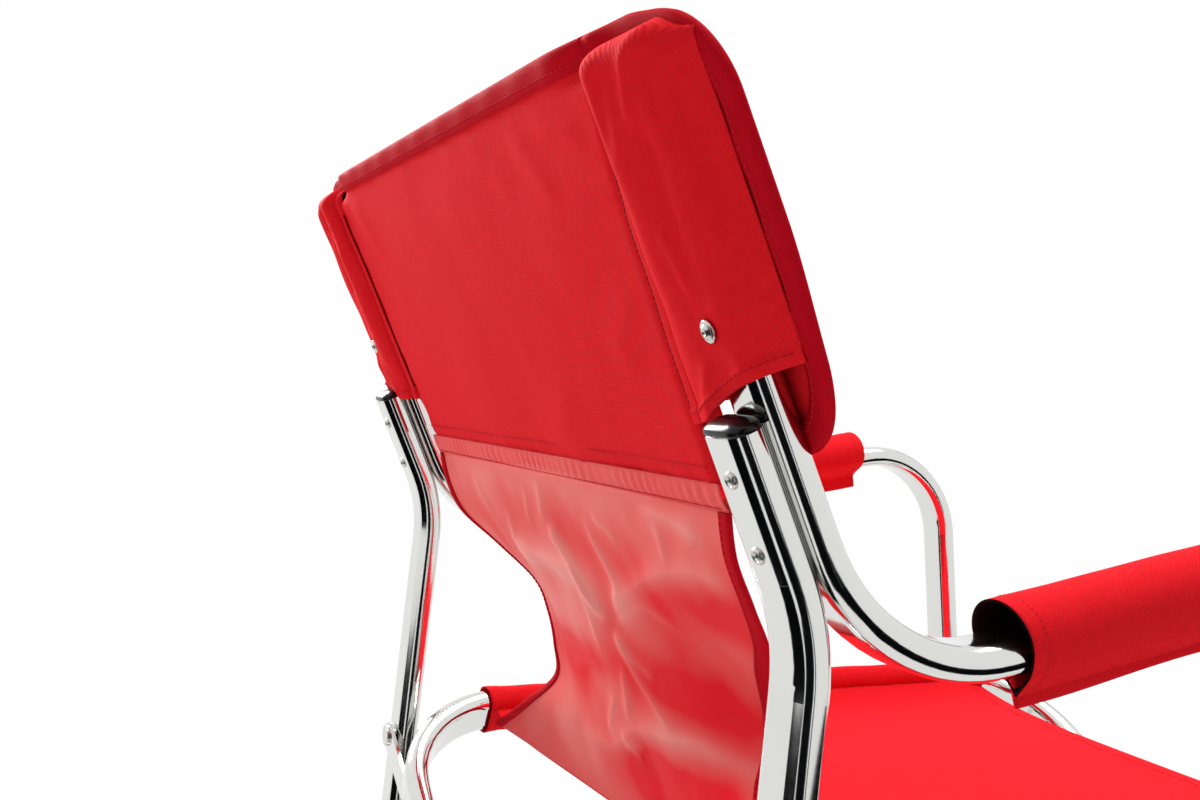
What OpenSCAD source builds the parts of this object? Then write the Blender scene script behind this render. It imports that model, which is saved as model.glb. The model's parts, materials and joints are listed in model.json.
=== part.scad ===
// Folding director's chair. Two side frames of flat-oval tube are joined by two crossed
// U-shaped seat frames and four cranked links, and the cloth hangs between them.
// Millimetres, +Z up, floor at z = 0, the sitter faces -Y and the sitter's right is -X.
// Side views use points [v, z], with v measured forward from the top of the rear legs.

/* [Tube] */
// Width of the flat-oval tube across its round sides
tube_w = 30; // [27:1:33]
// Thickness of the flat-oval tube between its flat faces
tube_t = 15; // [13:0.5:17]
// Wall of the tube
tube_wall = 1.5; // [1.2:0.1:2.2]

/* [Side frames] */
// Distance between the centre planes of the two side frames
frame_spacing = 510; // [470:5:550]
// Height of the top of the rear legs
leg_top_z = 595; // [585:1:605]
// Lean of the back from the vertical, in degrees
back_lean = 24; // [20:0.5:26]
// Straight length of a rear leg beside the back upright
leg_top_run = 58; // [56:1:66]
// Bend radius of a rear leg, on its centre line
leg_bend_r = 94; // [80:2:110]
// Outward slope of the front and rear legs, in degrees
leg_splay = 4.7; // [4:0.1:5.4]
// Length of the back upright above the top of the rear leg
upright_rise = 142; // [130:1:150]
// Straight length of the back upright below the top of the rear leg
upright_drop = 53; // [50:1:60]
// Bend radius between the back upright and the armrest
elbow_r = 78; // [70:1:86]
// Rise of the armrest towards the front, in degrees
arm_rise = 10.3; // [8:0.1:12]
// Straight length of the armrest
arm_run = 279; // [268:1:290]
// Bend radius between the armrest and the front leg
arm_front_r = 70; // [60:1:80]

/* [Seat frames] */
// Distance of a seat rail inward from the centre plane of its side frame
rail_inset = 37; // [36:0.5:40]
// Height of the seat rails' centre line
rail_z = 380; // [376:1:386]
// Height of the lower pivots
lower_pivot_z = 118; // [112:1:122]
// Bend radius of the seat frames
seat_bend_r = 78; // [72:1:82]
// Inward slope of a seat frame's two arms from pivot to rail, in degrees
seat_flare = 2.9; // [2.6:0.1:3]
// Length of a seat frame's tube past its lower pivot
pivot_overhang = 16; // [14:1:20]
// Gap between a leg and the seat frame tube next to it
near_gap = 6.5; // [6.3:0.1:8]
// Gap between the two seat frame tubes where they cross
cross_gap = 3.2; // [3.1:0.1:4]

/* [Links] */
// Height of a link's leg pivot below the seat rail
link_drop = 24; // [22:1:26]
// Distance of a link's inner pivot from the lower pivot, along the seat frame
link_along = 400; // [396:1:402]
// Width of a link
link_w = 18; // [16:1:20]
// Thickness of a link
link_t = 2.5; // [2:0.1:2.6]
// Horizontal distance from a link's leg pivot to its elbow
link_reach = 105; // [100:1:110]
// Slope of a link's outer half, in degrees
link_slope = 28; // [27:0.5:29]

/* [Pins and caps] */
// Radius of the hinge pins
pin_r = 4; // [3:0.1:4.5]
// Radius of the hinge pins' heads and washers
pin_head_r = 7; // [6.5:0.1:8]
// Radius of the tubular rivets
rivet_r = 2.4; // [2:0.1:2.8]
// Radius of the tubular rivets' heads
rivet_head_r = 3.6; // [3.4:0.1:4.2]
// Radius of the hole through the tubular rivets
rivet_bore_r = 1.4; // [1:0.1:1.6]
// Distance of the upper rivet from the top of the rear leg
rivet_top = 16.7; // [15:0.1:18]
// Distance between the two rivets of a rear leg
rivet_pitch = 30.4; // [28:0.1:32]
// Height of the pin and rivet heads
head_h = 1.6; // [1.2:0.1:2]
// Height of the domed end caps
cap_h = 5.5; // [4.5:0.1:7]
// Height of the domed end caps' rims
cap_rim_h = 1.6; // [1.2:0.1:2.4]
// Length of a cap's or foot's plug inside the tube
plug_len = 14; // [10:1:20]
// Height of a foot under its tube
foot_h = 7; // [6:0.5:10]
// Overhang of a foot beyond the tube
foot_rim = 1.5; // [1:0.1:2.5]

/* [Cloth] */
// Thickness of one layer of cloth
cloth_t = 1.2; // [1:0.1:1.4]
// Thickness of a bound edge, through the cloth and its binding
binding_t = 3.1; // [2.8:0.1:3.4]
// Height of the back panel, along its lean
panel_h = 186; // [180:1:190]
// Length of the back panel below the top of the rear legs, along its lean
panel_drop = 31; // [28:1:34]
// Distance of the front cloth's edge beyond the uprights
wing_out = 27; // [22:1:32]
// Corner radius of the back's front cloth
wing_corner_r = 38; // [30:1:44]
// Length of the front cloth's wings below the top of the rear legs
wing_drop = 3; // [0:0.5:6]
// Half width of the back between the two pocket seams
seam_half = 213; // [208:1:216]
// Distance of the back's rear cover behind the uprights' centre line
cover_depth = 6; // [5:0.5:7]
// Height of the pockets' bottom above the top of the rear legs
pocket_low = 6; // [5:0.5:9]
// Distance of the pockets' top below the panel's top
pocket_top_gap = 9; // [8:0.5:12]
// Distance of a pocket's outer edge from its upright's centre line
pocket_reach = 30; // [28:0.5:32]
// Width of the folded binding round the back
binding_w = 11; // [9:0.5:13]
// Height of the snaps above the top of the rear legs
snap_s = 37.6; // [34:0.1:42]
// Radius of the snaps
snap_r = 4.8; // [4:0.1:5.5]
// Outer width of an arm sleeve
arm_sleeve_w = 38; // [37:0.5:40]
// Outer height of an arm sleeve
arm_sleeve_h = 32; // [31:0.5:36]
// Gap between an arm sleeve and the end of the arm's straight part
arm_sleeve_gap = 6; // [4:0.5:10]
// Length of the seam flap under an arm sleeve
arm_flap = 13; // [10:0.5:15]
// Distance of the seam flap outward from the sleeve's middle
arm_flap_side = 4; // [2:0.5:7]
// Slope of the seam flap from straight down, in degrees
arm_flap_tilt = 20; // [10:1:30]
// Part of the seat frames' bends that the seat sleeves cover at the rear, in degrees
sleeve_turn_rear = 10; // [6:1:14]
// Part of the seat frames' bends that the seat sleeves cover at the front, in degrees
sleeve_turn_front = 30; // [24:1:34]
// Sag of the seat cloth in the middle
seat_sag = 24; // [18:1:28]
// Half width of the lower back at its narrowest
neck_half = 137; // [130:1:144]
// Width of the hem band under the back panel
hem_h = 11; // [9:0.5:13]
// Distance of the lower back's and the hem band's ends from the pocket seams
hem_in = 6; // [4:0.5:8]
// Width of the bindings along the lower back's edges
edge_binding_w = 5; // [4:0.5:6]
// Distance of the seat's front edge from the ends of its sleeves
seat_front_gap = 4; // [2:0.5:8]

/* [Hidden] */
$fn = 48;

// Clearance round a pin that turns, of a fixed rivet or plug, and beside cloth
turn_fit = 0.1;
still_fit = 0.1;
cloth_fit = 0.3;

// Colours of the metal, the plastic and the cloth
metal = "#c9ccce";
steel = "#a9adb0";
black = "#1d1f21";
red = "#c8202c";
coated = "#d8504e";
dark_red = "#8e1020";
eps = 0.01;
// Extra thickness of a bend on each face, and the lap of a straight run into it
swell = 0.05;
lap = 1;

// Direction of a run that slopes forward by a from straight down, and the normal on its
// front and upper side, both as [v, z]
function dir(a) = [sin(a), -cos(a)];
function nrm(a) = [cos(a), sin(a)];

half = frame_spacing / 2;
leg_top = [0, leg_top_z];
leg_bend = leg_top + leg_top_run * dir(back_lean);
leg_centre = leg_bend - leg_bend_r * nrm(back_lean);
leg_low = leg_centre + leg_bend_r * nrm(-leg_splay);
leg_run = (leg_low[1] - foot_h) / cos(leg_splay);
upright_base = leg_top + tube_t * nrm(back_lean);
upright_top = upright_base - upright_rise * dir(back_lean);
arm_angle = 90 + arm_rise;
elbow_start = upright_base + upright_drop * dir(back_lean);
elbow_centre = elbow_start + elbow_r * nrm(back_lean);
arm_start = elbow_centre - elbow_r * nrm(arm_angle);
arm_end = arm_start + arm_run * dir(arm_angle);
front_centre = arm_end - arm_front_r * nrm(arm_angle);
front_top = front_centre + arm_front_r * nrm(leg_splay);
front_run = (front_top[1] - foot_h) / cos(leg_splay);

// Distance forward of the legs' centre lines at height z
function rear_v(z) = leg_low[0] - (leg_low[1] - z) * tan(leg_splay);
function front_v(z) = front_top[0] + (front_top[1] - z) * tan(leg_splay);

// The seat frames: slope, length from pivot to rail and distance from pivot to crossing
seat_rise = rail_z - lower_pivot_z;
seat_across = frame_spacing - rail_inset;
seat_slope = atan2(seat_rise, seat_across);
seat_len = sqrt(seat_rise * seat_rise + seat_across * seat_across);
cross_q = half / cos(seat_slope);
near_off = tube_t + near_gap;
cross_off = tube_t + cross_gap;
pivot_rear = rear_v(lower_pivot_z) - near_off;
pivot_front = front_v(lower_pivot_z) + near_off + cross_off;
seat_mid = (pivot_rear + pivot_front) / 2;
legs_mid = (rear_v(lower_pivot_z) + front_v(lower_pivot_z)) / 2;
function seat_half(q) = (pivot_front - pivot_rear) / 2 - q * tan(seat_flare);
bend_turn = 90 - seat_flare;
rail_run = seat_half(seat_len) - seat_bend_r * tan(bend_turn / 2);
bend_q = seat_len - seat_bend_r;
arm_top = [seat_mid + rail_run + seat_bend_r * cos(seat_flare),
    bend_q + seat_bend_r * sin(seat_flare)];
seat_arm_run = (arm_top[1] + pivot_overhang) / cos(seat_flare);

// Places on the seat frame whose rail is on the left, in x and z
function seat_x(q) = -half + q * cos(seat_slope);
function seat_z(q) = lower_pivot_z + q * sin(seat_slope);
link_z = rail_z - link_drop;
link_end = [seat_x(link_along), seat_z(link_along)];
link_elbow = [half - link_reach, link_z - link_reach * tan(link_slope)];
// Front face of the near link on the left, and the face of the seat frame behind it
link_rub = 0.8 * link_w * tan(leg_splay) + cloth_fit;
link_v = rear_v(link_z) - tube_t / 2 / cos(leg_splay) - link_rub;
link_seat_v = pivot_rear + link_along * tan(seat_flare) + tube_t / 2 / cos(seat_flare);

// The back panel's height runs s up the lean from the top of the rear legs, and its depth
// y lies across the upright, with the upright's centre line at y = 0
panel_top = panel_h - panel_drop;
pocket_top = panel_top - pocket_top_gap;
wing_half = half + tube_w / 2 + wing_out;
front_y = tube_t / 2 + cloth_fit + binding_t / 2;
sleeve_grow = cloth_fit + cloth_t;

// The frame's origin lies midway between the rearmost and the foremost point
rearmost = upright_base + panel_top * -dir(back_lean)
    - (cover_depth + 1.5 * cloth_t + cloth_fit) * nrm(back_lean);
foremost = pivot_front + tube_t / 2 / cos(seat_flare) + pivot_overhang * tan(seat_flare);
origin_v = (rearmost[0] + foremost) / 2;
function fwd(v) = origin_v - v;

// Plain sections
module obround(w, t) {
    square([w - t, t], center = true);
    for (side = [-1, 1]) translate([side * (w - t) / 2, 0]) circle(d = t);
}
module ring(w, t, wall) difference() {
    obround(w, t);
    obround(w - 2 * wall, t - 2 * wall);
}
// A bend is thicker than the runs beside it by the swell on each face, and they lap into it
module tube_section(swell = 0)
    ring(tube_w + 2 * swell, tube_t + 2 * swell, tube_wall + 2 * swell);
module sleeve_section(swell = 0)
    ring(tube_w + 2 * (sleeve_grow + swell), tube_t + 2 * (sleeve_grow + swell),
        cloth_t + 2 * swell);

// Moves a piece from the top of a run, with the run along +Z and its front side on +Y
module at(x, p, a) translate([x, fwd(p[0]), p[1]]) rotate([180 - a, 0, 0]) children();
module run(length, before = 0, after = 0) translate([0, 0, -before])
    linear_extrude(length + before + after) children();
// A positive turn bends towards +Y
module bend(r, turn) mirror([0, turn < 0 ? 1 : 0, 0]) translate([0, r, 0])
    rotate([90, 0, -90]) rotate_extrude(angle = abs(turn)) translate([r, 0])
        rotate(90) children();
// A round pin along Y from v0 forward to v1
module pin_y(x, z, v0, v1, r) translate([x, fwd(v0), z]) rotate([90, 0, 0])
    cylinder(r = r, h = v1 - v0);
module mirror_v(v) translate([0, fwd(v), 0]) mirror([0, 1, 0])
    translate([0, -fwd(v), 0]) children();
// Half a turn about the upright line midway between the four legs
module half_turn() translate([0, fwd(legs_mid), 0]) rotate([0, 0, 180])
    translate([0, -fwd(legs_mid), 0]) children();

// One side frame, with its rivet holes and pivot holes
module rivet_places(x) for (i = [0, 1])
    at(x, leg_top + (rivet_top + i * rivet_pitch) * dir(back_lean), back_lean)
        rotate([-90, 0, 0]) children();
module rivet_holes(x) rivet_places(x)
    translate([0, 0, -tube_t]) cylinder(r = rivet_r + still_fit, h = 3 * tube_t);
module leg_holes(x, v) {
    pin_y(x, lower_pivot_z, v - tube_w, v + tube_w, pin_r + still_fit);
    pin_y(x, link_z, v - tube_w, v + tube_w * 1.5, pin_r + still_fit);
}
module side_tube(x) color(metal) difference() {
    union() {
        at(x, upright_top, back_lean) run(upright_rise + upright_drop, 0, lap) tube_section();
        at(x, elbow_start, back_lean) bend(elbow_r, arm_angle - back_lean) tube_section(swell);
        at(x, arm_start, arm_angle) run(arm_run, lap, lap) tube_section();
        at(x, arm_end, arm_angle) bend(arm_front_r, leg_splay - arm_angle)
            tube_section(swell);
        at(x, front_top, leg_splay) run(front_run, lap) tube_section();
    }
    rivet_holes(x);
    leg_holes(x, front_v(lower_pivot_z));
}
module rear_leg(x) color(metal) difference() {
    union() {
        at(x, leg_top, back_lean) run(leg_top_run, 0, lap) tube_section();
        at(x, leg_bend, back_lean) bend(leg_bend_r, -back_lean - leg_splay)
            tube_section(swell);
        at(x, leg_low, -leg_splay) run(leg_run, lap) tube_section();
    }
    rivet_holes(x);
    leg_holes(x, rear_v(lower_pivot_z));
}
module leg_rivets(x) color(steel) rivet_places(x) difference() {
    union() {
        translate([0, 0, -tube_t / 2]) cylinder(r = rivet_r, h = 2 * tube_t);
        translate([0, 0, -tube_t / 2 - head_h]) cylinder(r = rivet_head_r, h = head_h);
        translate([0, 0, tube_t * 1.5]) cylinder(r = rivet_head_r, h = head_h);
    }
    translate([0, 0, -tube_t]) cylinder(r = rivet_bore_r, h = 3 * tube_t);
}

// Domed plastic cap on the end of a tube, with its plug inside the tube
module tube_plug() run(plug_len)
    obround(tube_w - 2 * tube_wall - 2 * still_fit, tube_t - 2 * tube_wall - 2 * still_fit);
module crown(span) translate([0, 0, cap_h]) {
    sag = cap_h - cap_rim_h;
    r = (span * span / 4 + sag * sag) / (2 * sag);
    translate([0, 0, -r]) rotate([90, 0, 0]) cylinder(r = r, h = 2 * tube_w, center = true, $fn = 96);
}
module end_cap(x, p) color(black) at(x, p, back_lean) {
    tube_plug();
    mirror([0, 0, 1]) intersection() {
        run(cap_h) obround(tube_w, tube_t);
        crown(tube_w + 1);
        rotate([0, 0, 90]) crown(tube_t + 1);
    }
}
module foot(x, p, a) color(black) intersection() {
    at(x, p, a) {
        mirror([0, 0, 1]) tube_plug();
        run(2 * foot_h) obround(tube_w + 2 * foot_rim, tube_t + 2 * foot_rim);
    }
    translate([x - tube_w, fwd(p[0]) - tube_w, 0]) cube(2 * tube_w);
}
module rear_foot(x) foot(x, leg_low + leg_run * dir(-leg_splay), -leg_splay);
module front_foot(x) foot(x, front_top + front_run * dir(leg_splay), leg_splay);

// Round cloth sleeve on an armrest, with its seam flap below. It rests on the round edges
// of the tube, which lies in its lower part.
arm_sleeve_seat = arm_sleeve_h / 2 - cloth_t - tube_t / 2 - cloth_fit;
arm_sleeve_side = (tube_w - tube_t - arm_sleeve_w + arm_sleeve_h) / 2;
arm_sleeve_lift = sqrt(arm_sleeve_seat * arm_sleeve_seat - arm_sleeve_side * arm_sleeve_side);
module arm_sleeve(x) color(red)
    at(x, arm_start + arm_sleeve_gap * dir(arm_angle), arm_angle)
        run(arm_run - 2 * arm_sleeve_gap) {
            translate([0, arm_sleeve_lift]) ring(arm_sleeve_w, arm_sleeve_h, cloth_t);
            translate([sign(x) * arm_flap_side, arm_sleeve_lift - arm_sleeve_h / 2 + cloth_t / 2])
                rotate(-sign(x) * arm_flap_tilt) translate([-cloth_t / 2, -arm_flap])
                    square([cloth_t, arm_flap]);
        }

// Hinge pins and bushes at the two lower pivots of the right side frame
face = tube_t / 2 / cos(leg_splay);
seat_face = tube_t / 2 / cos(seat_flare);
leg_tilt = pin_head_r * tan(leg_splay);
seat_tilt = pin_head_r * tan(seat_flare);
near_rear_v = rear_v(lower_pivot_z);
near_front_v = front_v(lower_pivot_z);
module headed_pin(x, z, v0, v1, r) {
    pin_y(x, z, v0 - head_h, v1 + head_h, r);
    pin_y(x, z, v0 - head_h, v0, pin_head_r);
    pin_y(x, z, v1, v1 + head_h, pin_head_r);
}
module lower_pins() color(steel) {
    headed_pin(-half, lower_pivot_z, pivot_rear - seat_face - seat_tilt - turn_fit,
        near_rear_v + face + leg_tilt, pin_r);
    headed_pin(-half, lower_pivot_z, near_front_v - face - leg_tilt,
        pivot_front + seat_face + seat_tilt + turn_fit, pin_r);
}
module bush(x, z, v0, v1, r) difference() {
    pin_y(x, z, v0, v1, r);
    pin_y(x, z, v0 - eps, v1 + eps, pin_r + still_fit);
}
module lower_bushes() color(black) {
    bush(-half, lower_pivot_z, pivot_rear + seat_face + seat_tilt + turn_fit,
        near_rear_v - face - leg_tilt, pin_head_r);
    bush(-half, lower_pivot_z, near_front_v + face + leg_tilt,
        pivot_front - seat_face - seat_tilt - turn_fit, pin_head_r);
}

// Links of the left side frame. The near link lies against the rear leg, and the front
// one is its mirror image with a long bush that reaches the far tube.
front_link_v = front_v(link_z) + (rear_v(link_z) - link_v);
far_seat_v = pivot_front - link_along * tan(seat_flare) - seat_face;
module link_plate(v_low) color(metal) difference() {
    for (step = [[[half, link_z], link_elbow], [link_elbow, link_end]]) {
        d = step[1] - step[0];
        translate([step[0][0], fwd(v_low), step[0][1]]) rotate([90, -atan2(d[1], d[0]), 0])
            linear_extrude(link_t) {
                circle(d = link_w);
                translate([norm(d), 0]) circle(d = link_w);
                translate([0, -link_w / 2]) square([norm(d), link_w]);
            }
    }
    pin_y(half, link_z, v_low - link_t, v_low + 2 * link_t, pin_r + turn_fit);
    pin_y(link_end[0], link_end[1], v_low - link_t, v_low + 2 * link_t, pin_r + still_fit);
}
module link_bush(v_plate, v_seat) color(steel) {
    low = min(v_plate, v_seat);
    high = max(v_plate, v_seat);
    pin_y(link_end[0], link_end[1], low, high, pin_r);
    if (v_plate < v_seat)
        pin_y(link_end[0], link_end[1], v_plate + link_t, high, pin_head_r);
    else
        pin_y(link_end[0], link_end[1], low, v_plate - link_t, pin_head_r);
}
link_clear = link_w / 2 * tan(seat_flare) + cloth_fit;
module link_pins() color(steel) {
    headed_pin(half, link_z, link_v - link_t - turn_fit,
        rear_v(link_z) + face + leg_tilt, pin_r);
    headed_pin(half, link_z, front_v(link_z) - face - leg_tilt,
        front_link_v + link_t + turn_fit, pin_r);
}
module link_rivets() color(steel) {
    flat = seat_face + seat_tilt;
    rear = pivot_rear + link_along * tan(seat_flare);
    front = pivot_front - link_along * tan(seat_flare);
    pin_y(link_end[0], link_end[1], rear - flat - head_h, rear + tube_t / 2 - turn_fit, pin_r);
    pin_y(link_end[0], link_end[1], rear - flat - head_h, rear - flat, pin_head_r);
    pin_y(link_end[0], link_end[1], front - tube_t / 2 + turn_fit, front + flat + head_h, pin_r);
    pin_y(link_end[0], link_end[1], front + flat, front + flat + head_h, pin_head_r);
}

// Seat frame with its rail on the left, drawn in its own sloping plane
module seat_plane() translate([-half, 0, lower_pivot_z]) rotate([0, 90 - seat_slope, 0])
    children();
module seat_corner() {
    at(0, [seat_mid + rail_run, seat_len], 90) bend(seat_bend_r, -bend_turn)
        tube_section(swell);
    at(0, arm_top, seat_flare) run(seat_arm_run, lap) tube_section();
}
module seat_hole(q, r) seat_plane()
    translate([0, fwd(pivot_rear) + tube_w, q]) rotate([90, 0, 0])
        cylinder(r = r, h = pivot_front - pivot_rear + 2 * tube_w);
module seat_frame() color(metal) difference() {
    seat_plane() {
        at(0, [seat_mid - rail_run, seat_len], 90) run(2 * rail_run, lap, lap) tube_section();
        seat_corner();
        mirror_v(seat_mid) seat_corner();
    }
    seat_hole(0, pin_r + turn_fit);
    seat_hole(cross_q, pin_r + turn_fit);
    seat_hole(link_along, pin_r + still_fit);
}
module seat_plugs() color(black) seat_plane() for (side = [0, 1])
    translate([0, side * 2 * fwd(seat_mid), 0]) mirror([0, side, 0])
        at(0, arm_top + seat_arm_run * dir(seat_flare), seat_flare) {
            run(2) obround(tube_w, tube_t);
            mirror([0, 0, 1]) run(plug_len / 2) obround(tube_w - 2 * tube_wall - 2 * still_fit,
                tube_t - 2 * tube_wall - 2 * still_fit);
        }
// Cloth sleeve on the rail, reaching further into the bend at the front of the chair
module sleeve_end(turn) at(0, [seat_mid + rail_run, seat_len], 90)
    bend(seat_bend_r, -turn) sleeve_section(swell);
module seat_sleeve(turn_low, turn_high) color(red) seat_plane() {
    at(0, [seat_mid - rail_run, seat_len], 90) run(2 * rail_run, lap, lap) sleeve_section();
    sleeve_end(turn_high);
    mirror_v(seat_mid) sleeve_end(turn_low);
}
cross_rear_v = pivot_rear + cross_q * tan(seat_flare);
cross_z = seat_z(cross_q);
module centre_pin() headed_pin(0, cross_z,
    cross_rear_v - cross_off - seat_face - seat_tilt - turn_fit,
    cross_rear_v + seat_face + seat_tilt + turn_fit, pin_r);
module centre_washer() bush(0, cross_z,
    cross_rear_v - cross_off + seat_face + seat_tilt + turn_fit / 2,
    cross_rear_v - seat_face - seat_tilt - turn_fit / 2, pin_head_r);

// The back's cloth. Strips are drawn across the back, in x and depth y, and run up the
// lean, and an outline in x and height s trims them.
module lean(s) at(0, upright_base - s * dir(back_lean), back_lean) mirror([0, 0, 1]) children();
// A strip of thickness t along a mid-line whose points run from left to right
function strip_normal(p, i) = let (
    a = p[max(i - 1, 0)], b = p[min(i + 1, len(p) - 1)], d = b - a) [-d[1], d[0]] / norm(d);
module strip(p, t) polygon(concat(
    [for (i = [0:len(p) - 1]) p[i] + t / 2 * strip_normal(p, i)],
    [for (i = [len(p) - 1:-1:0]) p[i] - t / 2 * strip_normal(p, i)]));
function both_sides(p) = concat([for (q = p) [-q[0], q[1]]],
    [for (i = [len(p) - 1:-1:0]) p[i]]);
front_line = both_sides([[wing_half + 5, front_y], [half - tube_w / 2, front_y],
    [seam_half + 6, cloth_t - cover_depth + 3], [seam_half - 6, cloth_t - cover_depth + still_fit]]);
module wing_outline(inset) {
    w = wing_half - inset;
    r = wing_corner_r - inset;
    bottom = inset - wing_drop;
    top = panel_top - inset;
    for (side = [-1, 1], y = [bottom + r, top - r]) translate([side * (w - r), y]) circle(r);
    translate([-w, bottom + r]) square([2 * w, top - bottom - 2 * r]);
    translate([r - w, bottom]) square([2 * (w - r), top - bottom]);
    translate([-seam_half, -panel_drop]) square([2 * seam_half, panel_drop + r]);
}
module across_back(inset) rotate([90, 0, 0])
    translate([0, 0, -2 * tube_w]) linear_extrude(4 * tube_w) wing_outline(inset);
module back_front_cloth() color(red) intersection() {
    lean(-panel_drop) run(panel_h) strip(front_line, cloth_t);
    lean(0) across_back(cloth_fit);
}
module back_binding() color(dark_red) difference() {
    intersection() {
        lean(-panel_drop) run(panel_h + cloth_t) strip(front_line, binding_t);
        lean(0) across_back(-cloth_t);
    }
    lean(-panel_drop - 1) run(panel_h + 1) strip(front_line, cloth_t + 2 * still_fit);
    lean(0) intersection() {
        across_back(binding_w);
        translate([0, 0, -2 * panel_h]) cylinder(r = 2 * wing_half, h = 4 * panel_h);
    }
    lean(-panel_drop - 1) translate([-wing_half * 2, -tube_w, 0])
        cube([wing_half * 4, 2 * tube_w, panel_drop + wing_corner_r]);
}
module back_rear_cover() color(red) lean(-panel_drop) run(panel_h - binding_w - cloth_fit)
    translate([-seam_half, -cover_depth - cloth_t / 2]) square([2 * seam_half, cloth_t]);
// Pocket round the back upright, from the seam round the tube to the front cloth
module pocket(side) {
    inner = half - seam_half - cloth_fit;
    back = -tube_t / 2 - cloth_fit - cloth_t / 2 - 1;
    line = [[-inner, -cover_depth], [-inner * 0.62, back], [tube_w * 0.4, back],
        [pocket_reach - 5, back * 0.55], [pocket_reach, 0],
        [pocket_reach - 0.5, front_y - binding_t / 2 - cloth_fit]];
    color(red) lean(pocket_low) run(pocket_top - pocket_low) mirror([side < 0 ? 1 : 0, 0])
        translate([half, 0]) strip(line, cloth_t);
}
module snap(side) color(steel) lean(snap_s) translate([side * half, 0, 0])
    rotate([90, 0, 0]) {
        depth = tube_t / 2 + 2 * cloth_fit + 1.5 * cloth_t + 1;
        translate([0, 0, depth]) {
            cylinder(r = snap_r, h = 1.4);
            translate([0, 0, 1.4]) cylinder(r1 = snap_r * 0.8, r2 = snap_r * 0.4, h = 0.8);
        }
    }
module hem_band() color(coated) {
    at(0, upright_base + panel_drop * dir(back_lean), back_lean)
        translate([hem_in - seam_half, -cover_depth - cloth_t / 2, cloth_fit])
            cube([2 * (seam_half - hem_in), cloth_t, hem_h]);
}

// Smooth curve through points: a share w from 0 to 1 along the list p
function smooth(p, w) = let (n = len(p) - 1, k = min(floor(w * n), n - 1), u = w * n - k,
    a = p[max(k - 1, 0)], b = p[k], c = p[k + 1], d = p[min(k + 2, n)])
    b + u / 2 * (c - a) + u * u / 2 * (2 * a - 5 * b + 4 * c - d)
    + u * u * u / 2 * (3 * b - a - 3 * c + d);
// Closed sheet of thickness t on a grid of points, given row by row. Its side edges get
// their thickness across X, so two sheets that meet side by side stay apart.
module sheet(grid, t) {
    n = len(grid);
    m = len(grid[0]);
    function away(i, j) = let (
        a = grid[min(i + 1, n - 1)][j] - grid[max(i - 1, 0)][j],
        b = j == 0 || j == m - 1 ? [1, 0, 0] : grid[i][j + 1] - grid[i][j - 1],
        c = cross(a, b)) c / norm(c);
    top = [for (i = [0:n - 1], j = [0:m - 1]) grid[i][j]];
    low = [for (i = [0:n - 1], j = [0:m - 1]) grid[i][j] + t * away(i, j)];
    function id(i, j, k) = k * n * m + i * m + j;
    faces = concat(
        [for (i = [0:n - 2], j = [0:m - 2]) each [
            [id(i, j, 0), id(i + 1, j, 0), id(i + 1, j + 1, 0)],
            [id(i, j, 0), id(i + 1, j + 1, 0), id(i, j + 1, 0)],
            [id(i, j, 1), id(i + 1, j + 1, 1), id(i + 1, j, 1)],
            [id(i, j, 1), id(i, j + 1, 1), id(i + 1, j + 1, 1)]]],
        [for (i = [0:n - 2]) each [
            [id(i, 0, 0), id(i, 0, 1), id(i + 1, 0, 1)], [id(i, 0, 0), id(i + 1, 0, 1), id(i + 1, 0, 0)],
            [id(i, m - 1, 1), id(i, m - 1, 0), id(i + 1, m - 1, 0)],
            [id(i, m - 1, 1), id(i + 1, m - 1, 0), id(i + 1, m - 1, 1)]]],
        [for (j = [0:m - 2]) each [
            [id(0, j, 1), id(0, j, 0), id(0, j + 1, 0)], [id(0, j, 1), id(0, j + 1, 0), id(0, j + 1, 1)],
            [id(n - 1, j, 0), id(n - 1, j, 1), id(n - 1, j + 1, 1)],
            [id(n - 1, j, 0), id(n - 1, j + 1, 1), id(n - 1, j + 1, 0)]]]);
    polyhedron(concat(top, low), faces);
}

// The lower back hangs from the panel to the rear edge of the seat. Its edge and its
// middle are smooth curves through points [half width, v, z]. The shapes give each point's
// distances beyond the neck, forward of the hem and below it, as shares of the drop from
// the hem to the rails.
hem_low = upright_base + (panel_drop + hem_h + 2 * cloth_fit) * dir(back_lean)
    - cover_depth * nrm(back_lean);
hem_mid = hem_low - 2 * cloth_t * nrm(back_lean);
back_drop = hem_low[1] - rail_z;
sleeve_in = half - rail_inset - tube_t - sleeve_grow;
sleeve_rear_v = seat_mid - rail_run - seat_bend_r * sin(sleeve_turn_rear);
edge_low = [sleeve_in, sleeve_rear_v + seat_sag / 6, rail_z - seat_sag / 4];
mid_low = [hem_low[0] + 0.39 * back_drop, rail_z - seat_sag * 0.8];
edge_shape = [[0.376, 0.027, 0.11], [0.359, 0.086, 0.221], [0.239, 0.197, 0.332],
    [0.095, 0.294, 0.444], [0.067, 0.336, 0.555], [0.036, 0.353, 0.666], [0, 0.347, 0.777],
    [0.109, 0.28, 0.889]];
mid_shape = [[0.035, 0.11], [0.088, 0.221], [0.133, 0.332], [0.169, 0.444], [0.21, 0.555],
    [0.254, 0.666], [0.292, 0.777], [0.335, 0.92]];
edge_line = concat([[seam_half - hem_in, hem_low[0], hem_low[1]]], [for (p = edge_shape)
    [neck_half + p[0] * back_drop, hem_low[0] + p[1] * back_drop, hem_low[1] - p[2] * back_drop]],
    [edge_low]);
mid_line = concat([[0, hem_mid[0], hem_mid[1]]], [for (p = mid_shape)
    [0, hem_low[0] + p[0] * back_drop, hem_low[1] - p[1] * back_drop]],
    [[0, mid_low[0], mid_low[1]]]);
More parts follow.
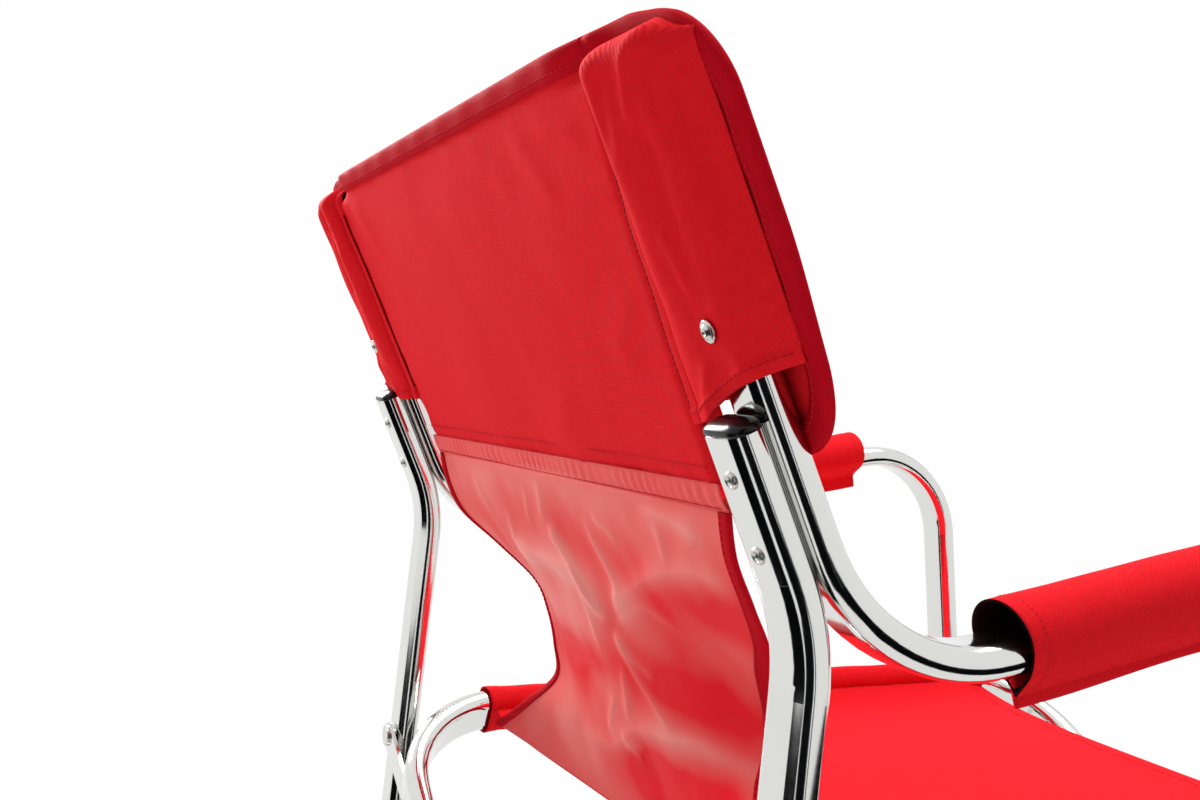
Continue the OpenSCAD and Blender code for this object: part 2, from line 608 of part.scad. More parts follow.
// Depth of the folds that hang from the hem and meet above the seat
fold_depth = back_drop / 50;
function fold(t, w) = fold_depth * sin(180 * w) * (cos(540 * t + 200 * w) * (1 - t * t)
    + 0.5 * cos(1080 * t - 160 * w));
function lower_point(t, w) = let (e = smooth(edge_line, w), c = smooth(mid_line, w),
    p = c + (e - c) * t * t)
    [(e[0] - edge_binding_w) * t, fwd(p[1] + fold(t, w)), p[2]];
lower_rows = 26;
lower_cols = 22;
module lower_back_cloth() color(coated)
    sheet([for (i = [0:lower_rows]) [for (j = [0:lower_cols])
        lower_point(2 * j / lower_cols - 1, i / lower_rows)]], cloth_t);
// A place across a lower binding, from its inner edge at u = 0 to its outer one at u = 1
function edge_point(side, u, w) = let (e = smooth(edge_line, w))
    [side * (e[0] - (1 - u) * (edge_binding_w - 2 * cloth_fit)), fwd(e[1] + fold(1, w)), e[2]];
module lower_back_binding() color(dark_red) for (side = [-1, 1])
    sheet([for (i = [0:lower_rows]) [for (j = [0:2])
        edge_point(side, side > 0 ? j / 2 : 1 - j / 2, i / lower_rows)]], 2 * cloth_t);

// The seat cloth spans the two seat sleeves, from the lower back to the front. Its sides
// follow the sleeves' inner faces, also where these curve in at the front.
side_step = seat_mid - legs_mid;
function rail_edge(d) = let (past = max(0, abs(d) - rail_run),
    r = seat_bend_r - tube_t / 2 - sleeve_grow - cloth_fit - cloth_t * sin(seat_slope),
    q = bend_q + sqrt(r * r - past * past), h = (tube_w - tube_t) / 2 - 2 * cloth_t)
    [seat_x(q) - h * sin(seat_slope), seat_z(q) + h * cos(seat_slope)];
function seat_front_v(t) = legs_mid + t * side_step + rail_run
    + seat_bend_r * sin(sleeve_turn_front) - seat_front_gap;
function seat_point(t, w) = let (r = lower_point(t, 1), rear = origin_v - r[1] + cloth_t + 2 * cloth_fit,
    v = rear + (seat_front_v(t) - rear) * w,
    e = rail_edge(v - legs_mid - sign(t) * side_step),
    front_z = rail_z - seat_sag / 3 * (1 - pow(t, 4)) - seat_sag / 8,
    low_z = r[2] + (front_z - r[2]) * w - seat_sag / 6 * sin(180 * w) * (1 - t * t),
    side_z = edge_low[2] + (rail_z - seat_sag / 8 - edge_low[2]) * w)
    [t * e[0], fwd(v), low_z + (e[1] - side_z) * pow(t, 10)];
seat_rows = 24;
seat_cols = 20;
module seat_cloth() color(red)
    sheet([for (i = [0:seat_rows]) [for (j = [0:seat_cols])
        seat_point(2 * j / seat_cols - 1, i / seat_rows)]], cloth_t);

side_tube(-half);  // side_tube_right
side_tube(half);  // side_tube_left
rear_leg(-half);  // rear_leg_right
rear_leg(half);  // rear_leg_left
leg_rivets(-half);  // leg_rivets_right
leg_rivets(half);  // leg_rivets_left
end_cap(-half, leg_top);  // leg_cap_right
end_cap(half, leg_top);  // leg_cap_left
end_cap(-half, upright_top);  // upright_cap_right
end_cap(half, upright_top);  // upright_cap_left
rear_foot(-half);  // rear_foot_right
rear_foot(half);  // rear_foot_left
front_foot(-half);  // front_foot_right
front_foot(half);  // front_foot_left
arm_sleeve(-half);  // arm_sleeve_right
arm_sleeve(half);  // arm_sleeve_left
pocket(-1);  // pocket_right
pocket(1);  // pocket_left
snap(-1);  // snap_right
snap(1);  // snap_left
lower_pins();  // lower_pins_right
half_turn() lower_pins();  // lower_pins_left
lower_bushes();  // lower_bushes_right
half_turn() lower_bushes();  // lower_bushes_left
link_pins();  // link_pins_left
half_turn() link_pins();  // link_pins_right
link_plate(link_v - link_t);  // link_rear_left
link_plate(front_link_v);  // link_front_left
half_turn() link_plate(link_v - link_t);  // link_front_right
half_turn() link_plate(front_link_v);  // link_rear_right
link_bush(link_v, link_seat_v + link_clear);  // link_bush_rear_left
link_bush(front_link_v, far_seat_v - link_clear);  // link_bush_front_left
half_turn() link_bush(link_v, link_seat_v + link_clear);  // link_bush_front_right
half_turn() link_bush(front_link_v, far_seat_v - link_clear);  // link_bush_rear_right
link_rivets();  // link_rivets_left
half_turn() link_rivets();  // link_rivets_right
seat_frame();  // seat_frame_left
half_turn() seat_frame();  // seat_frame_right
seat_plugs();  // seat_plugs_left
half_turn() seat_plugs();  // seat_plugs_right
color(steel) { centre_pin(); half_turn() centre_pin(); }  // centre_pins
color(black) { centre_washer(); half_turn() centre_washer(); }  // centre_washers
seat_sleeve(sleeve_turn_rear, sleeve_turn_front);  // seat_sleeve_left
half_turn() seat_sleeve(sleeve_turn_front, sleeve_turn_rear);  // seat_sleeve_right
seat_cloth();
lower_back_cloth();
lower_back_binding();
hem_band();
back_front_cloth();
back_rear_cover();
back_binding();
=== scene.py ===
"""Dresses a folding director's chair: its cloth, its finishes, and the studio it stands in.

Sizes are millimetres. Side views use v, measured forward from the top of the rear legs, and z,
the height above the floor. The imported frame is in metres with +Z up, and the sitter faces -Y.
"""

import json
import logging
import math
from dataclasses import dataclass, field, replace
from enum import Enum

import bmesh
import bpy
import numpy as np
from mathutils import Matrix, Vector


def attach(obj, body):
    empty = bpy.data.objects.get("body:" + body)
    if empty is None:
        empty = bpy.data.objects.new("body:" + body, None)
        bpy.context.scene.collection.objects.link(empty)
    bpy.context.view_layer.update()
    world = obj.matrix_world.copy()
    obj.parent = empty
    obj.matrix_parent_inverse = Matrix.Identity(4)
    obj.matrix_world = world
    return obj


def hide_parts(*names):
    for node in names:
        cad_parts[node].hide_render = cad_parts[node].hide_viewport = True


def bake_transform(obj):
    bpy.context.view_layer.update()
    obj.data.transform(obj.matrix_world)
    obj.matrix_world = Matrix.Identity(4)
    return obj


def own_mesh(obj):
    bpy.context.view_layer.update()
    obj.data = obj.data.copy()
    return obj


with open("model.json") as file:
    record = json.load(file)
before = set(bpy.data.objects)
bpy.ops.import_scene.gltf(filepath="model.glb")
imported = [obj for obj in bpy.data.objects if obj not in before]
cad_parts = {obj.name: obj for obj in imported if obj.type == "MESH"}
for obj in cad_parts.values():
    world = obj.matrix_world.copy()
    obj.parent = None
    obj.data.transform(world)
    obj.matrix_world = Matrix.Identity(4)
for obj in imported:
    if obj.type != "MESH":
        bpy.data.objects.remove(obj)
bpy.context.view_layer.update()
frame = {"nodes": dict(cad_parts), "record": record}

MM = 0.001
LOG = logging.getLogger("chair")
RIGHT_FRAME = "side_frame_right"
LEFT_FRAME = "side_frame_left"
SEAT_A = "seat_frame_a"
SEAT_B = "seat_frame_b"
# Directions that the faces of the back's cloth mostly point to
REAR = (0.0, 1.0, 0.2)
FRONT = (0.0, -1.0, 0.0)
# Flat sides of a turned piece, and waves in a soft noise
TURNED_SIDES = 40
NOISE_WAVES = 9


class Side(Enum):
    """A side of the chair, as the sitter has it, with the sign of its X."""

    RIGHT = -1
    LEFT = 1

    @property
    def word(self) -> str:
        """The side's name as the frame's nodes end with it."""
        return self.name.lower()

    @property
    def side_frame(self) -> str:
        """The body of this side's legs and armrest."""
        return RIGHT_FRAME if self is Side.RIGHT else LEFT_FRAME

    @property
    def seat_frame(self) -> str:
        """The body whose seat rail lies on this side."""
        return SEAT_B if self is Side.RIGHT else SEAT_A


def slope(degrees: float) -> np.ndarray:
    """Direction, as (v, z), of a run that slopes forward by an angle from straight down."""
    turn = math.radians(degrees)
    return np.array([math.sin(turn), -math.cos(turn)])


def slope_normal(degrees: float) -> np.ndarray:
    """Normal, as (v, z), on the front and upper side of a run with that slope."""
    turn = math.radians(degrees)
    return np.array([math.cos(turn), math.sin(turn)])


@dataclass(frozen=True)
class ChairPlan:
    """Sizes of the chair's frame, and the places worked out from them."""

    tube_w: float = 30.0
    tube_t: float = 15.0
    half: float = 255.0
    leg_top_z: float = 595.0
    back_lean: float = 24.0
    leg_top_run: float = 58.0
    leg_bend_r: float = 94.0
    leg_splay: float = 4.7
    upright_rise: float = 142.0
    upright_drop: float = 53.0
    elbow_r: float = 78.0
    arm_rise: float = 10.3
    arm_run: float = 279.0
    arm_front_r: float = 70.0
    rail_inset: float = 37.0
    rail_z: float = 380.0
    lower_pivot_z: float = 118.0
    seat_bend_r: float = 78.0
    seat_flare: float = 2.9
    near_gap: float = 6.5
    cross_gap: float = 3.2
    cloth_t: float = 1.2

    @property
    def upright_base(self) -> np.ndarray:
        """Centre of the back upright beside the top of the rear leg, as (v, z)."""
        return np.array([0.0, self.leg_top_z]) + self.tube_t * slope_normal(self.back_lean)

    @property
    def leg_low(self) -> np.ndarray:
        """Lower end of the rear leg's bend, as (v, z)."""
        bend = np.array([0.0, self.leg_top_z]) + self.leg_top_run * slope(self.back_lean)
        centre = bend - self.leg_bend_r * slope_normal(self.back_lean)
        return centre + self.leg_bend_r * slope_normal(-self.leg_splay)

    def rear_v(self, z: float) -> float:
        """How far forward the rear leg's centre line is at height z."""
        low = self.leg_low
        return low[0] - (low[1] - z) * math.tan(math.radians(self.leg_splay))

    @property
    def arm_angle(self) -> float:
        """Slope of the armrest, counted from straight down."""
        return 90.0 + self.arm_rise

    @property
    def arm_start(self) -> np.ndarray:
        """Rear end of the armrest's straight part, as (v, z)."""
        elbow = self.upright_base + self.upright_drop * slope(self.back_lean)
        centre = elbow + self.elbow_r * slope_normal(self.back_lean)
        return centre - self.elbow_r * slope_normal(self.arm_angle)

    @property
    def front_top(self) -> np.ndarray:
        """Top of the front leg's straight part, as (v, z)."""
        end = self.arm_start + self.arm_run * slope(self.arm_angle)
        centre = end - self.arm_front_r * slope_normal(self.arm_angle)
        return centre + self.arm_front_r * slope_normal(self.leg_splay)

    def front_v(self, z: float) -> float:
        """How far forward the front leg's centre line is at height z."""
        top = self.front_top
        return top[0] + (top[1] - z) * math.tan(math.radians(self.leg_splay))

    @property
    def seat_rise(self) -> float:
        """Height of the seat rails above the lower pivots."""
        return self.rail_z - self.lower_pivot_z

    @property
    def seat_across(self) -> float:
        """Distance across the chair from a lower pivot to its seat frame's rail."""
        return 2 * self.half - self.rail_inset

    @property
    def seat_slope(self) -> float:
        """Slope of a seat frame's plane from level, in radians."""
        return math.atan2(self.seat_rise, self.seat_across)

    @property
    def seat_len(self) -> float:
        """Distance from a lower pivot to its seat frame's rail."""
        return math.hypot(self.seat_rise, self.seat_across)

    @property
    def pivots(self) -> tuple[float, float]:
        """How far forward the left seat frame's rear and front tubes are at the pivots."""
        near = self.tube_t + self.near_gap
        cross = self.tube_t + self.cross_gap
        rear = self.rear_v(self.lower_pivot_z) - near
        front = self.front_v(self.lower_pivot_z) + near + cross
        return rear, front

    @property
    def legs_mid(self) -> float:
        """Middle between the rear and the front legs, at the lower pivots."""
        z = self.lower_pivot_z
        return (self.rear_v(z) + self.front_v(z)) / 2

    @property
    def seat_mid(self) -> float:
        """Middle of the left seat frame, as v."""
        return sum(self.pivots) / 2

    @property
    def rail_run(self) -> float:
        """Half the straight length of a seat rail."""
        rear, front = self.pivots
        flare = math.radians(self.seat_flare)
        half = (front - rear) / 2 - self.seat_len * math.tan(flare)
        return half - self.seat_bend_r * math.tan((math.pi / 2 - flare) / 2)

    @property
    def origin_v(self) -> float:
        """How far forward the frame's origin is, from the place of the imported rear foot."""
        soles = {m["name"]: m["pos_m"] for m in frame["record"]["mounts"]}
        return soles["rear_foot_right_sole"][1] / MM + self.rear_v(0.0)

    def place(self, x: np.ndarray, v: np.ndarray, z: np.ndarray) -> np.ndarray:
        """Points in the frame's axes, in millimetres, from x, v and z."""
        x, v, z = np.broadcast_arrays(x, v, z)
        return np.stack([x, self.origin_v - v, z], axis=-1)

    def on_lean(self, x: np.ndarray, y: np.ndarray, s: np.ndarray) -> np.ndarray:
        """Points of the back.

        Args:
            x: Places across.
            y: Depth in front of the uprights' middle.
            s: Height up the lean, from the top of the rear legs.

        Returns:
            The points, in millimetres.
        """
        up = -slope(self.back_lean)
        ahead = slope_normal(self.back_lean)
        base = self.upright_base
        v = base[0] + np.asarray(s) * up[0] + np.asarray(y) * ahead[0]
        z = base[1] + np.asarray(s) * up[1] + np.asarray(y) * ahead[1]
        return self.place(x, v, z)

    def on_arm(self, x: np.ndarray, h: np.ndarray, a: np.ndarray) -> np.ndarray:
        """Points round an armrest.

        Args:
            x: Places across.
            h: Height over the arm's middle, square to it.
            a: Run along the arm from its rear end.

        Returns:
            The points, in millimetres.
        """
        along = slope(self.arm_angle)
        up = slope_normal(self.arm_angle)
        start = self.arm_start
        v = start[0] + np.asarray(a) * along[0] + np.asarray(h) * up[0]
        z = start[1] + np.asarray(a) * along[1] + np.asarray(h) * up[1]
        return self.place(x, v, z)

    def on_rail(self, side: Side, a: np.ndarray, out: np.ndarray, up: np.ndarray) -> np.ndarray:
        """Points round a seat rail.

        Args:
            side: The side on which the rail lies.
            a: Run along the rail from its middle, forward, round the bends at both ends.
            out: Distance outward in the seat frame's sloping plane.
            up: Distance above that plane.

        Returns:
            The points, in millimetres.
        """
        a, out, up = np.broadcast_arrays(a, out, up)
        forward = a * (1 if side is Side.LEFT else -1)
        past = np.abs(forward) - self.rail_run
        turn = np.clip(past, 0, None) / self.seat_bend_r
        reach = self.seat_bend_r + out
        v = np.clip(np.abs(forward), None, self.rail_run) + reach * np.sin(turn)
        v = self.seat_mid + np.sign(forward) * v
        q = self.seat_len - self.seat_bend_r + reach * np.cos(turn)
        c, s = math.cos(self.seat_slope), math.sin(self.seat_slope)
        x = -self.half - up * s + q * c
        z = self.lower_pivot_z + up * c + q * s
        if side is Side.LEFT:
            return self.place(x, v, z)
        return self.place(-x, 2 * self.legs_mid - v, z)


PLAN = ChairPlan()


def unit_grid(rows: int, cols: int) -> tuple[np.ndarray, np.ndarray]:
    """Two arrays that run from 0 to 1 down the rows and across the columns."""
    return np.meshgrid(np.linspace(0, 1, rows), np.linspace(0, 1, cols), indexing="ij")


def ease(share: np.ndarray) -> np.ndarray:
    """Smooth step: 0 below 0, 1 above 1, and 3t^2 - 2t^3 between."""
    t = np.clip(share, 0, 1)
    return t * t * (3 - 2 * t)


def smooth_curve(points: list[tuple[float, ...]], share: np.ndarray) -> np.ndarray:
    """Smooth curve through points, as cubic pieces whose slopes are the chords beside them.

    Args:
        points: The points, evenly spaced in share.
        share: Places along the curve, from 0 to 1.

    Returns:
        The curve's points, with the coordinates last.
    """
    p = np.asarray(points, float)
    last = len(p) - 1
    at = np.clip(np.asarray(share), 0, 1) * last
    k = np.minimum(at.astype(int), last - 1)
    u = (at - k)[..., None]
    a, b = p[np.maximum(k - 1, 0)], p[k]
    c, d = p[k + 1], p[np.minimum(k + 2, last)]
    return (
        b
        + u / 2 * (c - a)
        + u**2 / 2 * (2 * a - 5 * b + 4 * c - d)
        + u**3 / 2 * (3 * b - a - 3 * c + d)
    )


def soft_noise(x: np.ndarray, y: np.ndarray, size: float, seed: int) -> np.ndarray:
    """Soft uneven relief of about -1 to 1: a seeded sum of waves in many directions.

    Args:
        x: Places across, in millimetres.
        y: Places along, in millimetres.
        size: Length of the waves, in millimetres.
        seed: Number that sets the waves' directions and phases.

    Returns:
        The relief at each place.
    """
    rng = np.random.default_rng(seed)
    total = np.zeros(np.broadcast(x, y).shape)
    for _ in range(NOISE_WAVES):
        turn, phase = rng.uniform(0, 2 * np.pi), rng.uniform(0, 2 * np.pi)
        stretch = rng.uniform(0.7, 1.6)
        wave = 2 * np.pi / (size * stretch)
        total += np.sin((x * np.cos(turn) + y * np.sin(turn)) * wave + phase)
    return total / 5


@dataclass(frozen=True)
class Fold:
    """A soft ridge in cloth from one point to another: a bell across, fading at both ends."""

    start: tuple[float, float]
    end: tuple[float, float]
    width: float
    height: float

    def relief(self, x: np.ndarray, y: np.ndarray) -> np.ndarray:
        """Height of the ridge over the cloth.

        Args:
            x: Places across.
            y: Places along.

        Returns:
            The height at each place.
        """
        ax, ay = self.start
        dx, dy = self.end[0] - ax, self.end[1] - ay
        length = math.hypot(dx, dy)
        along = ((x - ax) * dx + (y - ay) * dy) / length
        across = ((x - ax) * dy - (y - ay) * dx) / length
        fade = ease(along / (0.35 * length)) * ease((length - along) / (0.35 * length))
        return self.height * np.exp(-((across / self.width) ** 2)) * fade


@dataclass(frozen=True)
class Crease:
    """A sharp ridge in cloth along a broken line, with a steep crest, fading at both ends."""

    line: tuple[tuple[float, float], ...]
    width: float
    height: float
    fade: float = 0.3

    def relief(self, x: np.ndarray, y: np.ndarray) -> np.ndarray:
        """Height of the ridge over the cloth: it falls off from the line's nearest leg.

        Args:
            x: Places across.
            y: Places along.

        Returns:
            The height at each place.
        """
        points = np.array(self.line)
        legs = np.diff(points, axis=0)
        lengths = np.linalg.norm(legs, axis=1)
        runs = np.concatenate([[0.0], np.cumsum(lengths)])
        near = np.full(np.broadcast(x, y).shape, np.inf)
        along = np.zeros_like(near)
        for start, leg, length, run in zip(points, legs, lengths, runs):
            share = np.clip(((x - start[0]) * leg[0] + (y - start[1]) * leg[1]) / length**2, 0, 1)
            away = np.hypot(x - start[0] - share * leg[0], y - start[1] - share * leg[1])
            along = np.where(away < near, run + share * length, along)
            near = np.minimum(away, near)
        soft = self.fade * runs[-1]
        fade = ease(along / soft) * ease((runs[-1] - along) / soft)
        return self.height * np.exp(-((near / self.width) ** 1.3)) * fade


@dataclass(frozen=True)
class Bulge:
    """A soft round swelling, or a hollow where its height is negative."""

    x: float
    y: float
    half_x: float
    half_y: float
    height: float

    def relief(self, x: np.ndarray, y: np.ndarray) -> np.ndarray:
        """Height at x and y: a bell."""
        off_x, off_y = (x - self.x) / self.half_x, (y - self.y) / self.half_y
        return self.height * np.exp(-(off_x**2) - off_y**2)


def relief_of(folds: list[Fold | Crease | Bulge], x: np.ndarray, y: np.ndarray) -> np.ndarray:
    """Sum of several folds, creases and bulges at x and y."""
    return sum((f.relief(x, y) for f in folds), np.zeros(np.broadcast(x, y).shape))


def cloth_map(points: np.ndarray) -> np.ndarray:
    """Real-size map of a grid of points: lengths across and along the cloth.

    Args:
        points: The grid, as rows, columns and coordinates, in millimetres.

    Returns:
        The map, in metres, with a row and a column for each of the grid's.
    """
    across = np.zeros(points.shape[:2])
    across[:, 1:] = np.cumsum(np.linalg.norm(np.diff(points, axis=1), axis=-1), axis=1)
    along = np.zeros(points.shape[:2])
    along[1:] = np.cumsum(np.linalg.norm(np.diff(points, axis=0), axis=-1), axis=0)
    return np.stack([across, along], axis=-1) * MM


def mesh_object(
    name: str,
    points: np.ndarray,
    faces: np.ndarray,
    loop_map: np.ndarray | None = None,
    smooth: bool = True,
) -> bpy.types.Object:
    """Puts points and faces into a new object at the origin.

    Args:
        name: The piece's name.
        points: Its points in millimetres, one row each.
        faces: The corners of each face, all with as many corners.
        loop_map: Map coordinates of each face's corners, in metres.
        smooth: Whether light runs smoothly over the faces.

    Returns:
        The new object.
    """
    corners = faces.shape[1]
    mesh = bpy.data.meshes.new(name)
    mesh.vertices.add(len(points))
    mesh.vertices.foreach_set("co", (points * MM).astype(np.float32).ravel())
    mesh.loops.add(faces.size)
    mesh.loops.foreach_set("vertex_index", faces.astype(np.int32).ravel())
    mesh.polygons.add(len(faces))
    mesh.polygons.foreach_set("loop_start", np.arange(0, faces.size, corners, dtype=np.int32))
    mesh.polygons.foreach_set("use_smooth", np.full(len(faces), smooth))
    if loop_map is not None:
        layer = mesh.uv_layers.new(name="cloth")
        layer.data.foreach_set("uv", loop_map.astype(np.float32).ravel())
    mesh.update(calc_edges=True)
    mesh.validate()
    piece = bpy.data.objects.new(name, mesh)
    bpy.context.scene.collection.objects.link(piece)
    return piece


def surface(
    name: str,
    points: np.ndarray,
    facing: tuple[float, float, float] | None = None,
    closed: bool = False,
) -> bpy.types.Object:
    """A piece from a grid of points, with a real-size map.

    Args:
        name: The piece's name.
        points: The grid, as rows, columns and coordinates, in millimetres.
        facing: A direction that its faces mostly point to, or None for outwards.
        closed: Whether the last column joins the first one.

    Returns:
        The new object.
    """
    rows, cols = points.shape[:2]
    wide = cols if closed else cols - 1
    i, j = np.meshgrid(np.arange(rows - 1), np.arange(wide), indexing="ij")
    i, j = i.ravel(), j.ravel()
    ends = np.stack([i, i + 1, i + 1, i], -1), np.stack([j, j, j + 1, j + 1], -1)
    mapped = cloth_map(np.concatenate([points, points[:, :1]], axis=1) if closed else points)
    faces = ends[0] * cols + ends[1] % cols
    loop_map = mapped[ends[0], ends[1]]
    flat = points.reshape(-1, 3)
    a, b, c, d = (flat[faces[:, k]] for k in range(4))
    areas = np.cross(c - a, d - b)
    if facing is None:
        outward = np.einsum("ij,ij->i", (a + b + c + d) / 4 - flat.mean(0), areas).sum()
    else:
        outward = (areas @ np.array(facing)).sum()
    if outward < 0:
        faces, loop_map = faces[:, ::-1], loop_map[:, ::-1]
    return mesh_object(name, flat, faces, loop_map.reshape(-1, 2))


def thicken(piece: bpy.types.Object, depth: float, second: bool = False) -> None:
    """Gives a sheet its thickness, inward from its faces.

    Args:
        piece: The sheet.
        depth: The thickness, in millimetres.
        second: Whether the inner side and the rim get the second material.
    """
    solid = piece.modifiers.new("thickness", "SOLIDIFY")
    solid.thickness = depth * MM
    solid.offset = -1
    solid.use_even_offset = False
    solid.material_offset = int(second)
    solid.material_offset_rim = int(second)


def close_ends(piece: bpy.types.Object, second: bool = False) -> bpy.types.Object:
    """Fills each open ring of a piece's mesh with a face, and turns all faces outwards.

    Args:
        piece: The piece.
        second: Whether the filling gets the piece's second material.

    Returns:
        The piece.
    """
    shape = bmesh.new()
    shape.from_mesh(piece.data)
    filled = bmesh.ops.holes_fill(shape, edges=shape.edges[:], sides=0)["faces"]
    for face in filled:
        face.material_index = int(second)
    bmesh.ops.recalc_face_normals(shape, faces=shape.faces[:])
    shape.to_mesh(piece.data)
    shape.free()
    return piece


def revolved(
    name: str,
    profile: list[tuple[float, float]],
    centre: np.ndarray,
    axis: np.ndarray,
    second: bool = False,
) -> bpy.types.Object:
    """A turned piece: a profile of radius and height carried round an axis.

    Args:
        name: The piece's name.
        profile: Points as radius and height along the axis, from its base to its end.
        centre: Where the axis starts, in millimetres.
        axis: Its direction.
        second: Whether its closed ends get the second material.

    Returns:
        The new object.
    """
    axis = axis / np.linalg.norm(axis)
    side = np.cross(axis, [1.0, 0.0, 0.0])
    side = side / np.linalg.norm(side)
    other = np.cross(axis, side)
    turn = np.linspace(0, 2 * np.pi, TURNED_SIDES, endpoint=False)
    ring = np.cos(turn)[:, None] * side + np.sin(turn)[:, None] * other
    radius, height = (np.array(c) for c in zip(*profile))
    points = centre + radius[:, None, None] * ring + height[:, None, None] * axis
    return close_ends(surface(name, points, closed=True), second)


def mark_crests(piece: bpy.types.Object, crest: np.ndarray) -> None:
    """Stores the film's painted sheen at each point: a painted highlight along a crest, redder painted shade
    in a hollow.
    """
    mark = piece.data.attributes.new("crest", "FLOAT", "POINT")
    mark.data.foreach_set("value", np.clip(crest, 0, 1).astype(np.float32).ravel())


@dataclass(frozen=True)
class Stitching:
    """A row of thread stitches: short spindles laid end to end along a line on the cloth."""

    pitch: float = 3.2
    length: float = 2.5
    radius: float = 0.32
    sides: int = 6
    rings: tuple[float, ...] = (-0.5, -0.4, 0.0, 0.4, 0.5)
    girths: tuple[float, ...] = (0.25, 0.8, 1.0, 0.8, 0.25)

    def make(self, name: str, path: np.ndarray) -> bpy.types.Object:
        """The stitches along a path, all in one mesh.

        Args:
            name: The piece's name.
            path: Points of the line that the stitches follow, in millimetres.

        Returns:
            The new object.
        """
        steps = np.linalg.norm(np.diff(path, axis=0), axis=1)
        run = np.concatenate([[0], np.cumsum(steps)])
        middles = np.arange(self.pitch / 2, run[-1], self.pitch)
        girth = np.array(self.girths) * self.radius
        at = middles[:, None] + np.array(self.rings) * self.length
        centre = np.stack([np.interp(at, run, path[:, k]) for k in range(3)], -1)
        ahead = centre[:, -1] - centre[:, 0]
        ahead /= np.linalg.norm(ahead, axis=-1, keepdims=True)
        side = np.cross(ahead, [0.3, 0.5, 0.81])
        side /= np.linalg.norm(side, axis=-1, keepdims=True)
        other = np.cross(ahead, side)
        turn = np.linspace(0, 2 * np.pi, self.sides, endpoint=False)
        rim = np.cos(turn)[:, None, None] * side + np.sin(turn)[:, None, None] * other
        points = centre[:, :, None] + girth[None, :, None, None] * rim.transpose(1, 0, 2)[:, None]
        count, n = len(self.rings), self.sides
        i, j = np.meshgrid(np.arange(count - 1), np.arange(n), indexing="ij")
        i, j = i.ravel(), j.ravel()
        near, far = i * n + j, i * n + (j + 1) % n
        one = np.stack([near, far, far + n, near + n], -1)
        faces = (np.arange(len(middles))[:, None, None] * count * n + one).reshape(-1, 4)
        return close_ends(mesh_object(name, points.reshape(-1, 3), faces))


def linear(colour: str) -> tuple[float, float, float, float]:
    """Turns an sRGB colour into a linear one.

    Args:
        colour: The colour as a hex string.

    Returns:
        Linear red, green, blue and alpha.
    """
    parts = [int(colour.lstrip("#")[k : k + 2], 16) / 255 for k in (0, 2, 4)]
    straight = [p / 12.92 if p <= 0.04045 else ((p + 0.055) / 1.055) ** 2.4 for p in parts]
    return (*straight, 1.0)


def add_node(
    tree: bpy.types.NodeTree,
    kind: str,
    inputs: dict[str | int, object] | None = None,
    **settings: object,
) -> bpy.types.Node:
    """Adds a node to a tree.

    Args:
        tree: The tree that gets the node.
        kind: The node's type.
        inputs: What each input gets: another node's output, or a value.
        settings: The node's own properties.

    Returns:
        The new node.
    """
    node = tree.nodes.new(kind)
    for key, value in settings.items():
        setattr(node, key, value)
    for key, value in (inputs or {}).items():
        if isinstance(value, bpy.types.NodeSocket):
            tree.links.new(value, node.inputs[key])
        else:
            node.inputs[key].default_value = value
    return node


def new_material(name: str) -> tuple[bpy.types.Material, bpy.types.NodeTree]:
    """Makes an empty material.

    Args:
        name: Its name.

    Returns:
        The material and its tree.
    """
    material = bpy.data.materials.new(name)
    material.use_nodes = True
    material.node_tree.nodes.clear()
    return material, material.node_tree


@dataclass(frozen=True)
class PolishedAluminium:
    """Drawn aluminium tube, buffed and clear anodised: near mirror, with faint drawing lines."""

    name: str = "polished_aluminium"
    colour: str = "#DBDBD8"
    roughness: float = 0.10
    mottle_mm: float = 9.0
    grit_mm: float = 0.7
    uneven: tuple[float, float] = (0.75, 1.35)

    def make(self) -> bpy.types.Material:
        """Builds the material: a metal whose gloss varies with soft noise, and fine grit.

        Returns:
            The new material.
        """
        material, tree = new_material(self.name)
        place = add_node(tree, "ShaderNodeTexCoord").outputs["Object"]
        scale = 1 / (self.mottle_mm * MM)
        soft = add_node(tree, "ShaderNodeTexNoise", {"Vector": place, "Scale": scale, "Detail": 3.0})
        least, most = (self.roughness * share for share in self.uneven)
        rough = add_node(tree, "ShaderNodeMapRange", {"Value": soft.outputs["Fac"], 3: least, 4: most})
        scale = 1 / (self.grit_mm * MM)
        grit = add_node(tree, "ShaderNodeTexNoise", {"Vector": place, "Scale": scale, "Detail": 2.0})
        relief = {"Height": grit.outputs["Fac"], "Strength": 0.05, "Distance": 0.05 * MM}
        bump = add_node(tree, "ShaderNodeBump", relief)
        look = {
            "Base Color": linear(self.colour),
            "Metallic": 1.0,
            "Roughness": rough.outputs["Result"],
            "Normal": bump.outputs["Normal"],
        }
        metal = add_node(tree, "ShaderNodeBsdfPrincipled", look)
        add_node(tree, "ShaderNodeOutputMaterial", {"Surface": metal.outputs["BSDF"]})
        return material


